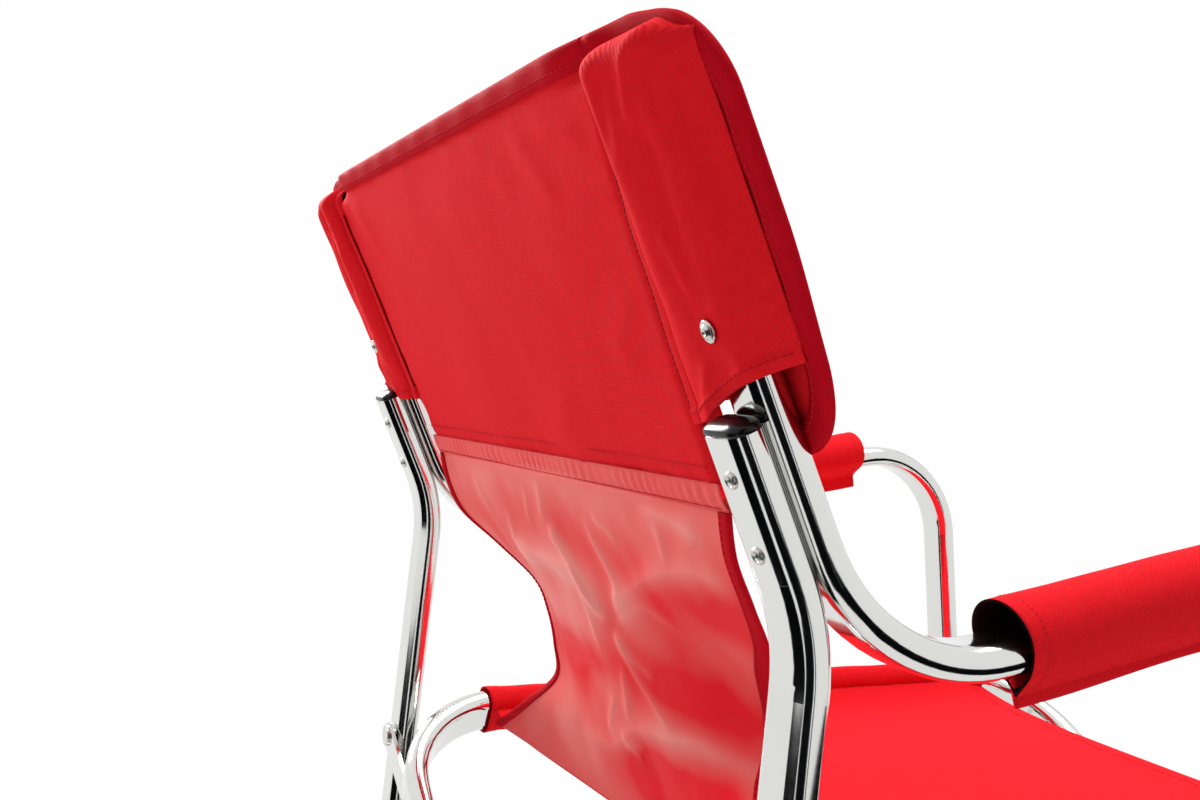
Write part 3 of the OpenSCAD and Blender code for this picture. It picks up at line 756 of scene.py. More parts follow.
@dataclass(frozen=True)
class MouldedPlastic:
    """Injection-moulded plastic: dark, half gloss, with the mould's fine grain."""

    name: str
    colour: str
    roughness: float
    grain_mm: float = 0.6
    gloss: float = 0.5
    uneven: tuple[float, float] = (0.8, 1.2)

    def make(self) -> bpy.types.Material:
        """Builds the material: a dielectric with a grained bump and uneven gloss.

        Returns:
            The new material.
        """
        material, tree = new_material(self.name)
        place = add_node(tree, "ShaderNodeTexCoord").outputs["Object"]
        scale = 1 / (self.grain_mm * MM)
        grain = add_node(tree, "ShaderNodeTexNoise", {"Vector": place, "Scale": scale, "Detail": 3.0})
        relief = {"Height": grain.outputs["Fac"], "Strength": 0.25, "Distance": 0.05 * MM}
        bump = add_node(tree, "ShaderNodeBump", relief)
        least, most = (self.roughness * share for share in self.uneven)
        rough = add_node(tree, "ShaderNodeMapRange", {"Value": grain.outputs["Fac"], 3: least, 4: most})
        look = {
            "Base Color": linear(self.colour),
            "Roughness": rough.outputs["Result"],
            "IOR": 1.5,
            "Specular IOR Level": self.gloss,
            "Normal": bump.outputs["Normal"],
        }
        plastic = add_node(tree, "ShaderNodeBsdfPrincipled", look)
        add_node(tree, "ShaderNodeOutputMaterial", {"Surface": plastic.outputs["BSDF"]})
        return material


@dataclass(frozen=True)
class WovenCloth:
    """Plain-weave polyester: round threads over and under, matt, with little gloss, and painted shade in the
    gaps between them.

    The real threads are 0.45 mm apart, which is too fine to show, so they are drawn coarser.
    """

    name: str
    colour: str
    gap_colour: str
    thread_mm: float = 0.85
    roughness: float = 0.78
    gloss: float = 0.03
    relief_mm: float = 0.12
    slub_threads: float = 6
    slub_tone: float = 0.22

    def make(self) -> bpy.types.Material:
        """Builds the material: a checker says which thread is on top, sines round it.

        Returns:
            The new material.
        """
        material, tree = new_material(self.name)
        chart = add_node(tree, "ShaderNodeUVMap", uv_map="cloth").outputs["UV"]
        per_metre = 1 / (self.thread_mm * MM)
        squares = {"Vector": chart, "Scale": per_metre, 1: (1, 1, 1, 1), 2: (0, 0, 0, 1)}
        over = add_node(tree, "ShaderNodeTexChecker", squares)
        parts = add_node(tree, "ShaderNodeSeparateXYZ", {"Vector": chart})
        rounds = []
        for axis in ("X", "Y"):
            wave = {0: parts.outputs[axis], 1: math.pi * per_metre}
            for operation in ("MULTIPLY", "SINE", "ABSOLUTE"):
                wave = {0: add_node(tree, "ShaderNodeMath", wave, operation=operation).outputs[0]}
            rounds.append(wave[0])
        threads = {"Factor": over.outputs["Fac"], 2: rounds[0], 3: rounds[1]}
        height = add_node(tree, "ShaderNodeMix", threads).outputs[0]
        scale = 1 / (self.slub_threads * self.thread_mm * MM)
        slub = add_node(tree, "ShaderNodeTexNoise", {"Vector": chart, "Scale": scale, "Detail": 3.0})
        spread = {"Value": slub.outputs["Fac"], 3: -self.slub_tone, 4: self.slub_tone}
        tone = add_node(tree, "ShaderNodeMapRange", spread)
        lit = {0: height, 1: tone.outputs["Result"]}
        share = add_node(tree, "ShaderNodeMath", lit, operation="ADD", use_clamp=True)
        # Painted shade: low places between the threads darken towards the gap shade colour, and the slub
        # noise adds random tone
        tones = {"Factor": share.outputs[0], 6: linear(self.gap_colour), 7: linear(self.colour)}
        colour = add_node(tree, "ShaderNodeMix", tones, data_type="RGBA")
        relief = {"Height": height, "Strength": 0.7, "Distance": self.relief_mm * MM}
        bump = add_node(tree, "ShaderNodeBump", relief)
        look = {
            "Base Color": colour.outputs[2],
            "Roughness": self.roughness,
            "IOR": 1.5,
            "Specular IOR Level": self.gloss,
            "Normal": bump.outputs["Normal"],
        }
        cloth = add_node(tree, "ShaderNodeBsdfPrincipled", look)
        add_node(tree, "ShaderNodeOutputMaterial", {"Surface": cloth.outputs["BSDF"]})
        return material


@dataclass(frozen=True)
class CoatedCloth:
    """The polyurethane-coated back of the cloth: smooth and glossy, paled by a painted sheen along its folds
    and in patches.
    """

    name: str = "coated_back"
    colour: str = "#E41A26"
    # Painted sheen: a pale pink that stands for the film's gloss catching the white floor
    pale_colour: str = "#EB8E86"
    roughness: float = 0.38
    gloss: float = 0.015
    mark_mm: float = 70.0
    mark_tone: float = 0.12
    crease_mm: float = 22
    crease_depth_mm: float = 0.8

    def make(self) -> bpy.types.Material:
        """Builds the material: colour mixed towards the painted sheen by broad noise and by the folds' stored
        painted sheen, fine creases as bump.

        Returns:
            The new material.
        """
        material, tree = new_material(self.name)
        place = add_node(tree, "ShaderNodeTexCoord").outputs["Object"]
        marks = {"Vector": place, "Scale": 1 / (self.mark_mm * MM), "Detail": 3.0, "Distortion": 0.4}
        broad = add_node(tree, "ShaderNodeTexNoise", marks)
        crest = add_node(tree, "ShaderNodeAttribute", attribute_name="crest").outputs["Fac"]
        spread = {"Value": broad.outputs["Fac"], 3: -self.mark_tone, 4: self.mark_tone}
        tone = add_node(tree, "ShaderNodeMapRange", spread)
        # Painted sheen: the stored crest share, plus the random noise tone, mixes the red towards the painted
        # sheen colour
        pale = {0: tone.outputs["Result"], 1: crest}
        share = add_node(tree, "ShaderNodeMath", pale, operation="ADD", use_clamp=True)
        tones = {"Factor": share.outputs[0], 6: linear(self.colour), 7: linear(self.pale_colour)}
        colour = add_node(tree, "ShaderNodeMix", tones, data_type="RGBA")
        scale = 1 / (self.crease_mm * MM)
        noise = {"Vector": place, "Scale": scale, "Detail": 3.0, "Distortion": 0.8, "Roughness": 0.4}
        creases = add_node(tree, "ShaderNodeTexNoise", noise)
        depth = self.crease_depth_mm * MM
        relief = {"Height": creases.outputs["Fac"], "Strength": 0.35, "Distance": depth}
        bump = add_node(tree, "ShaderNodeBump", relief)
        look = {
            "Base Color": colour.outputs[2],
            "Roughness": self.roughness,
            "IOR": 1.5,
            "Specular IOR Level": self.gloss,
            "Normal": bump.outputs["Normal"],
        }
        film = add_node(tree, "ShaderNodeBsdfPrincipled", look)
        add_node(tree, "ShaderNodeOutputMaterial", {"Surface": film.outputs["BSDF"]})
        return material


# Nickel plate on steel is warmer and softer than the tube
NICKEL = PolishedAluminium("nickel_plated_steel", "#D2CFC8", 0.22, 5.0, 0.5)
# Black polyethylene is smooth from its mould, with a soft highlight
BLACK_PLASTIC = MouldedPlastic("black_polyethylene", "#0D0D0F", 0.22, gloss=0.25)
# Painted shade: the gaps between the cloth's round threads get a darker red
RED_CLOTH = WovenCloth("red_woven_polyester", "#EC2029", "#BE0E18")
# The tape is woven closer than the cloth, and dyed darker; its gap colour is painted shade
BINDING_TAPE = WovenCloth("binding_tape", "#CE0E20", "#900614", 0.7, 0.7, 0.02)
# The arm sleeves are lined with a thin black cloth, which looks brown beside the red; its gap colour is
# painted shade
DARK_LINING = WovenCloth("dark_lining", "#2A1012", "#120607", 0.8, 0.8)
# Twisted polyester thread is matt, with a faint shine
THREAD = MouldedPlastic("sewing_thread", "#C41C28", 0.8, 0.3, 0.06)
# The pocket seams are pulled in, so their thread lies in shadow
SEAM_THREAD = MouldedPlastic("dark_seam_thread", "#72070F", 0.8, 0.3, 0.06)


@dataclass
class Finishes:
    """All the chair's materials, made once."""

    tube: bpy.types.Material = field(default_factory=PolishedAluminium().make)
    steel: bpy.types.Material = field(default_factory=NICKEL.make)
    plastic: bpy.types.Material = field(default_factory=BLACK_PLASTIC.make)
    cloth: bpy.types.Material = field(default_factory=RED_CLOTH.make)
    coated: bpy.types.Material = field(default_factory=CoatedCloth().make)
    binding: bpy.types.Material = field(default_factory=BINDING_TAPE.make)
    lining: bpy.types.Material = field(default_factory=DARK_LINING.make)
    thread: bpy.types.Material = field(default_factory=THREAD.make)
    seam: bpy.types.Material = field(default_factory=SEAM_THREAD.make)


@dataclass
class Dresser:
    """Gives finished pieces their materials and their bodies, and hides the CAD nodes they stand for."""

    finishes: Finishes

    def dress(
        self,
        piece: bpy.types.Object,
        slot: str,
        body: str,
        materials: list[bpy.types.Material],
        replaces: list[str] | None = None,
        keep: float | None = None,
    ) -> bpy.types.Object:
        """Finishes a piece.

        Args:
            piece: The piece.
            slot: The record's material slot.
            body: The body it rides on.
            materials: Its materials, with the one behind second.
            replaces: The CAD nodes that it stands for.
            keep: For a piece that spans the two side frames and crumples towards the right one,
            the share of its width that is left when the chair is folded. When it is given, the piece
            only gets its own copy of its mesh.

        Returns:
            The piece.
        """
        for material in materials:
            piece.data.materials.append(material)
        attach(piece, body)
        if replaces:
            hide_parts(*replaces)
        if keep:
            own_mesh(piece)
        LOG.info("%s: %d faces, rides on %s", piece.name, len(piece.data.polygons), body)
        return piece

    def sew(
        self,
        name: str,
        path: np.ndarray,
        body: str,
        keep: float | None = None,
        stitch: Stitching = Stitching(),
    ) -> bpy.types.Object:
        """Adds a row of stitches.

        Args:
            name: The row's name.
            path: Points of the line that it follows, in millimetres.
            body: The body it rides on.
            keep: The share of its width for where its cloth crumples; passed on to dress, which only gives
                the row its own copy of its mesh.
            stitch: The form of its stitches.

        Returns:
            The row.
        """
        return self.dress(stitch.make(name, path), "binding", body, [self.finishes.thread], keep=keep)

    def cut(
        self,
        piece: bpy.types.Object,
        held: str,
        rests_on: list[str],
        with_pieces: list[bpy.types.Object],
    ) -> None:
        """Reads a sheet's cloth map and the areas of its faces, and does nothing more with them.

        Args:
            piece: The sheet.
            held: How the cloth is held; not used.
            rests_on: What it lies on or hangs from; not used.
            with_pieces: The tape and the stitches on it; not used.
        """
        mesh = piece.data
        chart = np.empty(len(mesh.loops) * 2, np.float32)
        mesh.uv_layers["cloth"].data.foreach_get("uv", chart)
        areas = np.empty(len(mesh.polygons), np.float32)
        mesh.polygons.foreach_get("area", areas)


@dataclass
class BackPanel:
    """The back's upper panel: rear cover, front cloth with its wings, pockets and binding.

    Heights are counted up the lean from the top of the rear legs, and depths forward from the
    middle of the uprights.
    """

    dresser: Dresser
    seam_half: float = 213.0
    low_half: float = 207.0
    drop: float = 31.0
    top: float = 155.0
    edge_gap: float = 0.5
    wing_half: float = 297.0
    wing_drop: float = 19.0
    foot_rise: float = 22.0
    foot_x: float = 246.0
    foot_run: float = 16.0
    foot_narrow: float = 0.075
    foot_top: float = 70.0
    corner_r: float = 38.0
    binding_w: float = 11.0
    pocket_top: float = 149.6
    snap_s: float = 37.6
    snap_r: float = 4.8
    cover_y: float = -6.4
    inner_y: float = -4.7
    outer_y: float = 9.3
    turn_x: float = 184.0
    turn_run: float = 54.0
    front_gap: float = 0.6
    upper_s: float = 80.0
    upper_run: float = 70.0
    seam_spread: float = 7.5
    settled: float = 4.0
    settled_x: float = 235.0
    settled_run: float = 35.0
    thin: float = 0.7
    pocket_thin: float = 0.8
    fold_keep: float = 0.40
    cover_grid: tuple[int, int] = (110, 170)
    middle_grid: tuple[int, int] = (100, 120)
    wing_grid: tuple[int, int] = (90, 44)
    pocket_grid: tuple[int, int] = (150, 150)
    hem_rows: tuple[float, float] = (2.2, 9.0)
    hem_inset: float = 3.0
    seam_columns: tuple[int, int] = (9, 38)
    seam_stitch: Stitching = Stitching(2.8, 2.7, 0.75)
    cover_folds: tuple[Fold, ...] = (
        Fold((-150, 138), (-205, 118), 6, -1.0),
        Fold((-120, 140), (-160, 92), 9, -1.1),
        Fold((-60, 142), (-112, 104), 10, -0.8),
        Fold((-196, 60), (-150, 20), 10, -0.7),
        Fold((190, 140), (150, 96), 9, -0.9),
        Fold((196, 30), (130, -12), 11, -0.9),
        Fold((-30, -30), (-90, 18), 12, -0.7),
    )
    pocket_folds: tuple[Fold, ...] = (
        Fold((8, 152), (-4, 112), 3.4, -1.8),
        Fold((15, 150), (11, 104), 3.2, 1.3),
        Fold((-10, 148), (-20, 104), 3.6, 1.2),
        Fold((4, 128), (-2, 58), 4.2, 1.5),
        Fold((14, 120), (18, 52), 4.0, -0.9),
        Fold((22, 132), (24, 66), 3.2, 0.8),
        Fold((-5, 30), (-26, -2), 4.0, -1.3),
        Fold((5, 30), (24, 10), 4.4, -1.1),
        Fold((-2, 46), (-8, 84), 3.4, -1.2),
        Fold((-31, 100), (-33, 34), 2.4, 0.9),
    )
    fronts: dict[Side | None, bpy.types.Object] = field(default_factory=dict)

    def upper(self, s: np.ndarray) -> np.ndarray:
        """Share of the way up the panel's upper half, 0 below it."""
        return ease((s - self.upper_s) / self.upper_run)

    def settle(self, x: np.ndarray, s: np.ndarray) -> np.ndarray:
        """How far the right wing's loose top corner has sunk, at x and s."""
        return self.settled * ease((-x - self.settled_x) / self.settled_run) * self.upper(s)

    def narrowed(self, x: np.ndarray, s: np.ndarray) -> np.ndarray:
        """Places across a wing, drawn towards the pocket seam near the wing's foot."""
        share = 1 - self.foot_narrow * ease((self.foot_top - s) / self.foot_top)
        return np.sign(x) * (self.seam_half + (np.abs(x) - self.seam_half) * share)

    def foot_lift(self, x: np.ndarray, s: np.ndarray) -> np.ndarray:
        """How far the wing's foot is cut up beside the pocket seam, fading towards the top."""
        down = 1 - np.clip((s + self.wing_drop) / (self.top + self.wing_drop), 0, 1)
        return self.foot_rise * ease((self.foot_x - np.abs(x)) / self.foot_run) * down**2

    def seam_x(self, s: np.ndarray) -> np.ndarray:
        """Half distance between the pocket seams, which spread from the hem to the top."""
        rise = (s + self.drop) / (self.top + self.drop)
        spread = (self.seam_half - self.low_half) * ease(rise * 1.4)
        return self.low_half + spread + self.seam_spread * self.upper(s)

    def front_y(self, x: np.ndarray) -> np.ndarray:
        """Depth of the front cloth: behind the seams' line inside, before the tubes outside."""
        share = ease((np.abs(x) - self.turn_x) / self.turn_run)
        return self.inner_y + (self.outer_y - self.inner_y) * share

    def outline(self, inset: float, count: int = 24) -> np.ndarray:
        """Edge of the front cloth from the right wing's foot over the top to the middle.

        Straight runs and quarter circles, drawn in by the inset.

        Args:
            inset: How far inside the edge the line runs.
            count: Points on each run or corner.

        Returns:
            The line's points, as x and height.
        """
        r = self.corner_r - inset
        cx = self.wing_half - self.corner_r
        low, high = self.corner_r - self.wing_drop, self.top - self.corner_r
        turn = np.linspace(0, np.pi / 2, count)
        short = count // 2
        foot_x = np.linspace(-self.seam_half - 12, -cx, count)[:-1]
        foot = np.stack([foot_x, np.full(count - 1, low - r)], -1)
        first = np.stack([-cx - r * np.sin(turn), low - r * np.cos(turn)], -1)
        edge = np.stack([np.full(count, -cx - r), np.linspace(low, high, count)], -1)[1:-1]
        second = np.stack([-cx - r * np.cos(turn), high + r * np.sin(turn)], -1)
        crown = np.stack([np.linspace(-cx, -self.seam_half, short), np.full(short, high + r)], -1)[1:]
        return np.concatenate([foot, first, edge, second, crown])

    def make_cover(self) -> None:
        """The rear cover: a flat sheet with a soft belly, tucked in at its side seams.

        Its depth is the sum of a belly, folds, puckers along the seams and the hem, and noise.
        """
        t, u = unit_grid(*self.cover_grid)
        s = -self.drop + t * (self.top - self.binding_w + 4 + self.drop)
        half = self.seam_x(s)
        x = (2 * u - 1) * half
        edge = half - np.abs(x)
        low = s + self.drop
        belly = -2.6 * np.sin(np.pi * t) ** 0.8 * (1 - (x / half) ** 2)
        pucker = 0.45 * np.sin(s / 4.1 + 2 * np.sin(s / 17)) * np.exp(-edge / 9)
        hem = 0.4 * np.sin(x / 5.2 + 1.5 * np.sin(x / 31)) * np.exp(-low / 7)
        tuck = 3.0 * np.exp(-((edge / 2.2) ** 2)) + 0.8 * np.exp(-((low / 3) ** 2))
        y = self.cover_y + belly + relief_of(self.cover_folds, x, s) + pucker + hem + tuck
        y += 0.55 * soft_noise(x, s, 95, 3) + 0.18 * soft_noise(x, s, 34, 4)
        y += (self.front_y(x) - 1.6 - y) * ease((s - self.top + self.binding_w + 8) / 10)
        piece = surface("rear_cover", PLAN.on_lean(x, y, s), REAR)
        thicken(piece, PLAN.cloth_t * self.thin)
        cloth = [self.dresser.finishes.cloth]
        self.dresser.dress(piece, "red_cloth", RIGHT_FRAME, cloth, ["back_rear_cover"], self.fold_keep)
        seam = np.linspace(-self.low_half + self.hem_inset, self.low_half - self.hem_inset, 240)
        rows = []
        for k, height in enumerate(self.hem_rows):
            line = PLAN.on_lean(seam, self.cover_y - 0.9, height - self.drop)
            rows.append(self.dresser.sew(f"cover_hem_stitches_{k + 1}", line, RIGHT_FRAME, self.fold_keep))
        self.dresser.cut(piece, "stretched", ["front_cloth_middle"], rows)

    def face(self, name: str, points: np.ndarray, body: str, keep: float | None) -> bpy.types.Object:
        """A dressed piece of the front cloth.

        Args:
            name: The piece's name.
            points: Its grid of points, in millimetres.
            body: The body it rides on.
            keep: The share of its width that it keeps where it crumples, or None; passed on to dress, which
                only gives the piece its own copy of its mesh.

        Returns:
            The piece.
        """
        piece = surface(name, points, FRONT)
        thicken(piece, PLAN.cloth_t * self.thin)
        cloth = [self.dresser.finishes.cloth]
        return self.dresser.dress(piece, "red_cloth", body, cloth, ["back_front_cloth"], keep)

    def make_front(self) -> None:
        """The front cloth: its middle between the seams, and a wing round each upright."""
        t, u = unit_grid(*self.middle_grid)
        s = -self.drop + t * (self.top + self.drop - self.edge_gap)
        x = (2 * u - 1) * self.seam_half
        y = self.front_y(x) + self.front_gap + 0.5 * soft_noise(x, s, 90, 8)
        y += 1.6 * np.sin(np.pi * t) * (1 - (x / self.seam_half) ** 2)
        s = s - self.settle(x, s)
        points = PLAN.on_lean(x, y, s)
        self.fronts[None] = self.face("front_cloth_middle", points, RIGHT_FRAME, self.fold_keep)
        r = self.corner_r
        for side in Side:
            t, u = unit_grid(*self.wing_grid)
            s = -self.wing_drop + t * (self.top + self.wing_drop - self.edge_gap)
            into = np.maximum(0, np.maximum(r - self.wing_drop - s, s - self.top + r))
            reach = self.wing_half - r + np.sqrt(np.maximum(r**2 - into**2, 0))
            x = self.narrowed(self.seam_half + u * (reach - self.seam_half), s)
            y = self.front_y(x) + self.front_gap + 0.5 * soft_noise(x, s, 50, 11) * u
            s = s + self.foot_lift(x, s)
            s = s - self.settle(side.value * x, s)
            points = PLAN.on_lean(side.value * x, y, s)
            self.fronts[side] = self.face(f"front_cloth_wing_{side.word}", points, side.side_frame, None)

    def binding_surface(self, insets: list[float], offsets: list[float], half: Side | None) -> np.ndarray:
        """Points of the folded binding: a U across, carried along the cloth's edge.

        Args:
            insets: How far in from the edge each line of the U lies.
            offsets: How far each line lies before the cloth's middle.
            half: The wing that it binds, or None for the top between the seams.

        Returns:
            The grid of points.
        """
        lines = []
        for inset, offset in zip(insets, offsets):
            if half is None:
                x = np.linspace(-self.seam_half, self.seam_half, 160)
                s = np.full_like(x, self.top - inset)
            else:
                x, s = self.outline(inset).T
                x, s = self.narrowed(x, s), s + self.foot_lift(x, s)
                x = x * -half.value
            ripple = 0.25 * np.sin(x / 6.3 + s / 5.1) * (offset < 0)
            stout = 1 + 0.25 * ease((self.seam_half + 14 - np.abs(x)) / 12)
            y = self.front_y(x) + offset * stout + ripple
            lines.append(PLAN.on_lean(x, y, s - self.settle(x, s)))
        return np.stack(lines, axis=1)

    def make_binding(self) -> None:
        """The binding: tape folded over the edge, sewn through near its inner edges."""
        w = self.binding_w
        insets = [w, w - 0.4, w * 0.6, w * 0.25, 0.6, -0.6, -1.1, -0.6, 0.6, w * 0.25, w * 0.6, w - 0.4, w]
        offsets = [-1.2, -2.4, -2.9, -2.9, -2.6, -1.5, 0.2, 1.5, 2.1, 2.2, 2.2, 1.9, 0.9]
        tape = [self.dresser.finishes.binding]
        tubes = [f"side_tube_{side.word}" for side in Side]
        for half in (None, Side.RIGHT, Side.LEFT):
            word = half.word if half else "middle"
            body = half.side_frame if half else RIGHT_FRAME
            keep = None if half else self.fold_keep
            points = self.binding_surface(insets, offsets, half)
            piece = close_ends(surface(f"back_binding_{word}", points, closed=True))
            self.dresser.dress(piece, "binding", body, tape, ["back_binding"], keep)
            path = self.binding_surface([w * 0.66], [-2.95], half)[:, 0]
            row = self.dresser.sew(f"binding_stitches_{word}", path, body, keep)
            self.dresser.cut(self.fronts[half], "stretched", tubes, [piece, row])

    def pocket_points(self, side: Side) -> np.ndarray:
        """Grid of a pocket: a profile round the upright's back, closed over the upright's end.

        The profile runs from the seam over a flat flange, a loose ridge and the tube to the
        wing. Towards the top it sinks to the wing along a quarter ellipse.

        Args:
            side: The pocket's side. The right one is cut up more, and the left one is fuller.

        Returns:
            The points, from the pocket's mouth up.
        """
        left = side is Side.LEFT
        tilt = 8.0 if left else 23.0
        seam = [(-42.5, -3.6), (-41.0, -7.0), (-35.8, -7.4), (-33.6, -7.8), (-27.5, -11.6), (-20.5, -13.6)]
        if left:
            tube = [(-12.0, -12.8), (-3.0, -11.2), (5.0, -10.8), (14.0, -11.0), (22.0, -10.2), (28.2, -6.0)]
            end = (31.4, 6.4)
        else:
            tube = [(-13.5, -13.2), (-6.0, -11.4), (2.0, -10.0), (8.0, -9.2), (13.0, -7.0), (22.0, -0.4)]
            end = (31.0, 6.4)
        t, u = unit_grid(*self.pocket_grid)
        line = smooth_curve([*seam, *tube, end], u)
        across, y = line[..., 0], line[..., 1]
        over = ease((across + 44) / 92)
        low = -3 + tilt * over * (2 - over) * 0.95
        top = self.pocket_top - 8 * ease((across - 8) / 24) - 3 * ease((-26 - across) / 14)
        s = low + t * (top - low)
        if left:
            y = y + 5.0 * (1 - s / top) * ease((across - 6) / 18) * (1 - ease((across - 29) / 3))
        across = across + (self.seam_x(s) - self.seam_half) * ease((-20 - across) / 20)
        puff = np.exp(-(((across + 19) / 10) ** 2))
        y = y + puff * (-0.4 + 2.0 * ease((70 - s) / 70) - 1.1 * ease((s - 60) / 60))
        sunk = np.clip((s - top + 12) / 12, 0, 1)
        bound = self.front_y(PLAN.half + across) - 2.6
        y = bound + (y - bound) * np.sqrt(np.maximum(1 - sunk**3, 0))
        away = 1 - np.exp(-((across / 7) ** 2 + ((s - self.snap_s) / 7) ** 2))
        y = y + relief_of(self.pocket_folds, across, s) * away * (1 - sunk)
        y = y + 0.5 * soft_noise(across, s, 42, 20 + side.value) * (1 - sunk) * away
        y = y - 0.8 * ease((low + 7 - s) / 1.2)
        y = y + 2.6 * np.exp(-(((line[..., 0] + 33.4) / 1.2) ** 2)) * (1 - sunk)
        return PLAN.on_lean(side.value * (PLAN.half + across), y, s)

    def make_pockets(self) -> None:
        """A pocket on each upright, with its hem stitches, its seam stitches and its snap."""
        finishes = self.dresser.finishes
        for side in Side:
            body = side.side_frame
            points = self.pocket_points(side)
            piece = surface(f"pocket_cloth_{side.word}", points, REAR)
            thicken(piece, PLAN.cloth_t * self.pocket_thin)
            self.dresser.dress(piece, "red_cloth", body, [finishes.cloth], [f"pocket_{side.word}"])
            hem = points[5, 4:-2] + np.array([0.0, 0.5, 0.1])
            sewn = [self.dresser.sew(f"pocket_hem_stitches_{side.word}", hem, body)]
            for k, column in enumerate(self.seam_columns):
                seam = points[8:-16, column] + np.array([0.0, 0.35, 0.1])
                row = self.seam_stitch.make(f"pocket_seam_stitches_{side.word}_{k + 1}", seam)
                sewn.append(self.dresser.dress(row, "binding", body, [finishes.seam]))
            self.dresser.cut(piece, "stretched", [f"side_tube_{side.word}"], sewn)
            self.make_snap(side)

    def make_snap(self, side: Side) -> None:
        """A snap: a rolled flange, a dome and a dimple, pressed through the pocket.

        Args:
            side: The side whose pocket it closes.
        """
        r = self.snap_r
        flange = [(0.02, -1.2), (r * 0.7, -1.2), (r * 0.93, -0.5), (r, 0.1), (r * 0.97, 0.6)]
        dome = [(r * 0.84, 0.95), (r * 0.72, 0.9), (r * 0.62, 1.15), (r * 0.5, 1.75)]
        dome += [(r * 0.34, 2.1), (r * 0.22, 2.05)]
        dimple = [(r * 0.16, 1.5), (0.02, 1.35)]
        centre = PLAN.on_lean(side.value * PLAN.half, -10.9, self.snap_s)
        rearward = PLAN.on_lean(0, -1, 0) - PLAN.on_lean(0, 0, 0)
        piece = revolved(f"snap_cap_{side.word}", [*flange, *dome, *dimple], centre, rearward)
        steel = [self.dresser.finishes.steel]
        self.dresser.dress(piece, "steel", side.side_frame, steel, [f"snap_{side.word}"])

    def make(self) -> None:
        """Builds the whole panel."""
        self.make_cover()
        self.make_front()
        self.make_binding()
        self.make_pockets()


